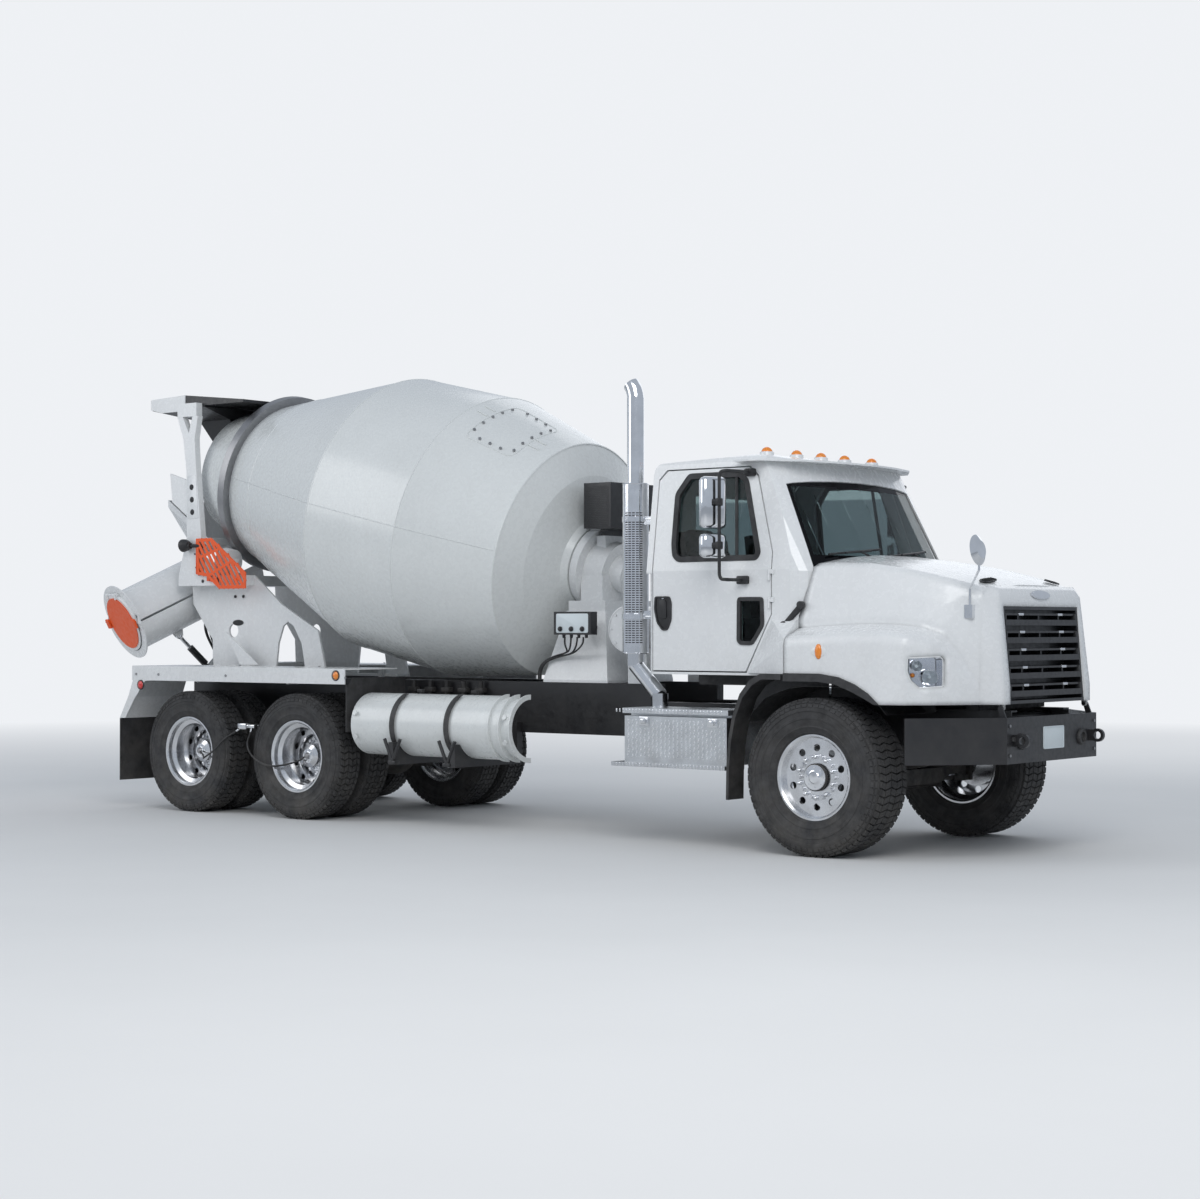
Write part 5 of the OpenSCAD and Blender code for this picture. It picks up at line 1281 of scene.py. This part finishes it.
class MIXER_OT_rear_trim(bpy.types.Operator):
    """Slotted guards, lamps, plug caps, holes drawn as dark marks (painted shade) and bolts of the rear
    frame, and the tyre air line
    """

    bl_idname = "mixer.rear_trim"
    bl_label = "Rear trim"

    def execute(self, context):
        self.guards()
        self.posts()
        self.decks(context.scene.mixer_sizes.bolt)
        self.air_line()
        return {"FINISHED"}

    def guards(self):
        """Each guard is a rim with slanted bars between its edges"""
        outline = [Vector(p) for p in ((-6.84, 2.38), (-6.64, 2.38), (-6.20, 2.07), (-6.20, 1.93),
                                       (-6.54, 1.93), (-6.70, 2.04), (-6.83, 2.06))]
        slant, across = Vector((0.58, -0.815)), Vector((0.815, 0.58))
        lean = Matrix.Rotation(math.atan2(across.x, slant.x), 4, "Y")
        bm = bmesh.new()
        for side in SIDES.values():
            add_frame(bm, upright(outline, side * 0.7052), 0.028, 0.0078, (0, side, 0))
            for k in range(-4, 60):
                line = k * 0.050 - 4.30
                cuts = []
                for a, b in zip(outline, outline[1:] + outline[:1]):
                    da, db = a.dot(across) - line, b.dot(across) - line
                    if (da > 0) != (db > 0):
                        cuts.append(a.lerp(b, da / (da - db)))
                cuts.sort(key=lambda p: p.dot(slant))
                for a, b in zip(cuts[::2], cuts[1::2]):
                    middle, half = (a + b) / 2, (b - a).length / 2 - 0.004
                    if half > 0.01:
                        centre = at(middle.x, side * GUARD_Y, middle.y)
                        add_box(bm, centre, (half, 0.0030, 0.0145), 0.0, lean)
            for bar in (((-6.80, 2.21), (-6.52, 2.29)), ((-6.68, 2.05), (-6.36, 2.18))):
                start, end = upright(bar, side * GUARD_Y)
                turn = Matrix.Rotation(-math.atan2(end.z - start.z, end.x - start.x), 4, "Y")
                add_box(bm, (start + end) / 2, ((end - start).length / 2, 0.0032, 0.012), 0.0, turn)
            for x in (-6.71, -6.33):
                add_side_block(bm, (x, 0.6803, 2.000), (x + 0.03, 0.706, 2.040), side, 0.003)
            add_side_block(bm, (-6.846, 0.640, 2.062), (-6.838, 0.7125, 2.378), side, 0.002)
        piece = finish_piece("slotted_guards", bm, "orange", "chassis")
        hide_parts("roller_guards")

    def posts(self):
        """Plug caps, holes drawn as dark ovals (painted shade), bolts, plates and a work lamp on each post of
        the rear frame
        """
        plugs_and_hole_shade, bolts, plates, lamp = (bmesh.new() for _ in range(4))
        for side in SIDES.values():
            out = Vector((0, side, 0))
            for x, z, radius in ((-6.935, 2.844, 0.026), (-6.930, 2.732, 0.026), (-6.925, 2.620, 0.026),
                                 (-6.890, 2.244, 0.008), (-6.875, 2.123, 0.008), (-6.785, 2.000, 0.015)):
                add_lathe(plugs_and_hole_shade, [(0.0005, 0.003), (radius * 0.8, 0.003), (radius, 0.001), (radius, -0.002)],
                          at(x, side * 0.6845, z), out, 24)
            # The two flat dark ovals are holes: painted shade where the openings are
            add_plate(plugs_and_hole_shade, upright(oval((-6.591, 2.000), 0.015, 0.036), side * 0.6802), out * 0.002)
            add_plate(plugs_and_hole_shade, upright(oval((-6.500, 1.630), 0.070, 0.026), side * 0.5202), out * 0.002)
            add_bolts(bolts, upright([(-6.534, 1.863), (-6.430, 1.863)], side * 0.520), out, 0.014, 0.010)
            sheet = [(-7.000, 2.950), (-6.880, 2.950), (-6.850, 2.560), (-6.990, 2.560)]
            add_plate(plates, upright(rounded(sheet, 0.018, 3), side * POST_Y), out * 0.004, 0.001)
            gusset = [(-6.537, 1.547), (-6.131, 1.262), (-6.358, 1.262)]
            add_plate(plates, upright(gusset, side * 0.630), out * -0.010, 0.001)
            foot = at(-6.757, side * (POST_Y - 0.002), 2.313)
            add_rod(lamp, foot, at(-6.900, side * 0.735, 2.316), 0.016, 12)
            add_lathe(lamp, [(0.0005, -0.085), (0.030, -0.080), (0.052, -0.045), (0.058, -0.008),
                             (0.058, 0.0), (0.050, 0.002), (0.050, -0.006), (0.0005, -0.006)],
                      at(-6.990, side * 0.735, 2.319), (-1, 0, -0.1), 32)
            add_rod(lamp, at(-6.94, side * 0.735, 2.318), at(-6.888, side * 0.735, 2.316), 0.026, 16)
        finish_piece("post_plugs", plugs_and_hole_shade, "cast", "chassis")
        finish_piece("post_bolts", bolts, "cast", "chassis")
        finish_piece("post_plates", plates, "white", "chassis")
        finish_piece("work_lamps", lamp, "plastic", "chassis")

    def decks(self, bolt):
        """Bolts and side lamps of the rear decks"""
        bolts, red, amber, rings = (bmesh.new() for _ in range(4))
        for side in SIDES.values():
            out = Vector((0, side, 0))
            for x in (-7.050, -6.757, -5.900, -4.480):
                add_bolts(bolts, [at(x, side * DECK_Y, 1.179)], out, bolt, 0.008)
            for x in (-6.068, -5.10):
                add_bolts(bolts, [at(x, side * 0.90, 1.2585)], (0, 0, 1), bolt, 0.006)
            tail, marker = upright([(-6.992, 1.085), (-4.592, 1.196)], side * DECK_Y)
            add_dome(red, tail, (0.036, 0.036, 0.016), out, 28)
            add_dome(amber, marker, (0.034, 0.034, 0.016), out, 28)
            for place in (tail, marker):
                add_lathe(rings, [(0.036, 0.007), (0.042, 0.006), (0.044, -0.002), (0.036, -0.002)],
                          place, out, 32)
        finish_piece("deck_bolts", bolts, "steel", "chassis")
        finish_piece("side_red_lamps", red, "red", "chassis")
        finish_piece("side_amber_lamps", amber, "amber", "chassis")
        finish_piece("lamp_rings", rings, "rubber", "chassis")

    def air_line(self):
        """The block between the right wheels, with a hose to each hub"""
        bm = bmesh.new()
        add_block(bm, at(-5.850, -1.135, 0.722), at(-5.740, -1.065, 0.775), 0.010)
        add_block(bm, at(-5.745, -1.120, 0.735), at(-5.655, -1.080, 0.765), 0.008)
        add_rod(bm, at(-5.700, -1.100, 0.750), at(-5.700, -0.420, 0.750), 0.012, 12)
        add_rod(bm, at(-5.700, -0.420, 0.745), at(-5.700, -0.400, 0.822), 0.012, 12)
        for place, end in (((-5.835, -1.100, 0.735), (-5.868, -1.125, 0.706)),
                           ((-5.700, -1.100, 0.742), (-5.690, -1.125, 0.700))):
            add_rod(bm, at(*place), at(*end), 0.009, 12)
        finish_piece("air_block", bm, "wheel", "chassis")
        hose("air_hose_2", [(-5.868, -1.125, 0.706), (-5.930, -1.218, 0.640), (-6.010, -1.240, 0.545),
                            (-6.170, -1.225, 0.470), (-6.270, -1.130, 0.465), (-6.345, -1.070, 0.490),
                            (-6.392, -1.060, 0.515)], 0.0075)
        hose("air_hose_1", [(-5.690, -1.125, 0.700), (-5.640, -1.225, 0.600), (-5.540, -1.240, 0.490),
                            (-5.360, -1.225, 0.425), (-5.240, -1.130, 0.445), (-5.155, -1.070, 0.480),
                            (-5.108, -1.060, 0.512)], 0.0075)
        bm = bmesh.new()
        for x in (-6.410, -5.090):
            add_lathe(bm, [(0.0005, 0.020), (0.020, 0.018), (0.026, 0.010), (0.026, -0.030)],
                      at(x, -1.048, 0.520), (0, -1, 0), 20)
        finish_piece("hub_unions", bm, "steel", "chassis")


class MIXER_OT_chute_trim(bpy.types.Operator):
    """Latches and handle of the end cover, and the hoses of the discharge chute"""

    bl_idname = "mixer.chute_trim"
    bl_label = "Chute trim"

    def execute(self, context):
        low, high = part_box("chute_cover")
        middle = (low + high) / 2
        along = Vector((math.cos(CHUTE_TURN) * math.cos(CHUTE_SLOPE),
                        math.sin(CHUTE_TURN) * math.cos(CHUTE_SLOPE), -math.sin(CHUTE_SLOPE)))
        across = Vector((-math.sin(CHUTE_TURN), math.cos(CHUTE_TURN), 0))
        up = along.cross(across)
        up = up if up.z > 0 else -up
        turn = Matrix((along, across, up)).transposed().to_4x4()
        bm = bmesh.new()
        for sign in (-1, 1):
            centre = middle + across * sign * 0.278 + along * 0.012
            add_box(bm, centre, (0.010, 0.032, 0.045), 0.006, turn)
            pin = centre + up * 0.02
            add_rod(bm, pin - across * 0.034, pin + across * 0.034, 0.011, 12)
        finish_piece("cover_latches", bm, "orange", "folding_chute")
        bm = bmesh.new()
        for sign in (-1, 1):
            centre = middle + up * 0.262 + across * sign * 0.085 - along * 0.015
            add_box(bm, centre, (0.030, 0.010, 0.028), 0.004, turn)
        centre = middle + up * 0.276 - along * 0.015
        add_rod(bm, centre - across * 0.105, centre + across * 0.105, 0.012, 12)
        finish_piece("cover_handle", bm, "white", "folding_chute")
        for number, shift in enumerate((0.0, 0.055)):
            path = [(-6.800, -0.300 - shift, 1.280), (-6.860, -0.310 - shift, 1.440),
                    (-6.980, -0.330 - shift, 1.640), (-7.120, -0.300 - shift, 1.660),
                    (-7.200, -0.220 - shift, 1.540), (-7.255, -0.130, 1.450 - shift),
                    (-7.262, -0.072, 1.380 - shift)]
            hose("chute_hose_%d" % (number + 1), path, 0.013)
        return {"FINISHED"}


class MIXER_OT_stage(bpy.types.Operator):
    """Floor, soft lamps and the camera at the photo's angle"""

    bl_idname = "mixer.stage"
    bl_label = "Stage"

    def execute(self, context):
        scene = context.scene
        scene.view_settings.view_transform = "Standard"
        self.floor(scene)
        self.lamps(scene)
        self.camera(scene)
        return {"FINISHED"}

    def floor(self, scene):
        """A wide pale floor that isn't part of the truck"""
        shader = Shader("Studio floor")
        patches = shader.remap(shader.noise(0.6, 6.0), 0.3, 0.7)
        tone = scene.mixer_colours.floor
        shader.apply("Base Color", shader.mix(patches, rgba(tone, 0.97), rgba(tone)))
        shader.apply("Roughness", 0.85)
        self.fade(shader)
        bm = bmesh.new()
        bmesh.ops.create_grid(bm, x_segments=4, y_segments=4, size=90)
        mesh = bpy.data.meshes.new("studio_floor")
        bm.to_mesh(mesh)
        bm.free()
        mesh.materials.append(shader.material)
        plane = bpy.data.objects.new("studio_floor", mesh)
        scene.collection.objects.link(plane)
        plane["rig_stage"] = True

    def fade(self, shader):
        """Lets the far floor melt into the background"""
        far = shader.remap(shader.node("VectorMath", {0: shader.place}, operation="LENGTH").outputs["Value"],
                           FADE_START, FADE_END)
        seen = shader.math("MULTIPLY", far, shader.node("LightPath").outputs["Is Camera Ray"])
        glow = shader.node("Emission", {"Color": BACKDROP})
        mix = shader.node("MixShader", {0: seen, 1: shader.skin.outputs["BSDF"], 2: glow.outputs["Emission"]})
        shader.feed(shader.tree.nodes["Material Output"].inputs["Surface"], mix.outputs["Shader"])

    def lamps(self, scene):
        """A pale sky behind the truck and three large lamps round it"""
        world = bpy.data.worlds.new("Studio sky")
        scene.world = world
        world.use_nodes = True
        tree = world.node_tree
        back = tree.nodes["Background"]
        seen = tree.nodes.new("ShaderNodeBackground")
        seen.inputs["Color"].default_value = BACKDROP
        seen.inputs["Strength"].default_value = 1.0
        back.inputs["Color"].default_value = SKY
        back.inputs["Strength"].default_value = SKY_STRENGTH
        path = tree.nodes.new("ShaderNodeLightPath")
        mix = tree.nodes.new("ShaderNodeMixShader")
        tree.links.new(path.outputs["Is Camera Ray"], mix.inputs["Fac"])
        tree.links.new(back.outputs[0], mix.inputs[1])
        tree.links.new(seen.outputs[0], mix.inputs[2])
        tree.links.new(mix.outputs[0], tree.nodes["World Output"].inputs["Surface"])
        for name, place, size, power in LAMPS:
            data = bpy.data.lights.new(name, "AREA")
            data.energy = power
            data.size = size
            lamp = bpy.data.objects.new(name, data)
            lamp.location = place
            lamp.rotation_euler = (LAMP_TARGET - lamp.location).to_track_quat("-Z", "Y").to_euler()
            scene.collection.objects.link(lamp)

    def camera(self, scene):
        """The camera that was fitted to the wheels in the photo"""
        data = bpy.data.cameras.new("Photo camera")
        data.sensor_width = 36
        data.lens = CAMERA_LENS
        camera = bpy.data.objects.new("Photo camera", data)
        camera.location = at(*CAMERA_PLACE)
        level = math.cos(CAMERA_PITCH)
        look = Vector((math.cos(CAMERA_YAW) * level, math.sin(CAMERA_YAW) * level, math.sin(CAMERA_PITCH)))
        camera.rotation_euler = look.to_track_quat("-Z", "Y").to_euler()
        scene.collection.objects.link(camera)
        scene.camera = camera


OPERATORS = (MIXER_OT_finishes, MIXER_OT_tyres, MIXER_OT_drum_trim,
             MIXER_OT_doors, MIXER_OT_cab_trim, MIXER_OT_nose,
             MIXER_OT_shields, MIXER_OT_bumper_trim, MIXER_OT_stack_trim,
             MIXER_OT_side_trim, MIXER_OT_drive_trim, MIXER_OT_wheel_trim,
             MIXER_OT_rear_trim, MIXER_OT_chute_trim, MIXER_OT_stage)


class MIXER_PT_panel(bpy.types.Panel):
    """Lists the steps and the settings"""

    bl_idname = "MIXER_PT_panel"
    bl_label = "Concrete mixer truck"
    bl_space_type = "VIEW_3D"
    bl_region_type = "UI"
    bl_category = "Mixer"

    def draw(self, context):
        for step in OPERATORS:
            self.layout.operator(step.bl_idname)
        for group in (context.scene.mixer_sizes, context.scene.mixer_colours):
            box = self.layout.box()
            for name in group.bl_rna.properties.keys():
                if name not in ("rna_type", "name"):
                    box.prop(group, name)


CLASSES = (MIXER_PG_colours, MIXER_PG_sizes, *OPERATORS, MIXER_PT_panel)


def register():
    for item in CLASSES:
        bpy.utils.register_class(item)
    bpy.types.Scene.mixer_colours = PointerProperty(type=MIXER_PG_colours)
    bpy.types.Scene.mixer_sizes = PointerProperty(type=MIXER_PG_sizes)


def unregister():
    del bpy.types.Scene.mixer_sizes
    del bpy.types.Scene.mixer_colours
    for item in reversed(CLASSES):
        bpy.utils.unregister_class(item)


def corners():
    """The shown object's box as plain lists"""
    return [list(corner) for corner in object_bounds()]


def main():
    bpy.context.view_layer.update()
    register()
    for step in OPERATORS:
        group, name = step.bl_idname.split(".")
        getattr(getattr(bpy.ops, group), name)()


if __name__ == "__main__":
    main()
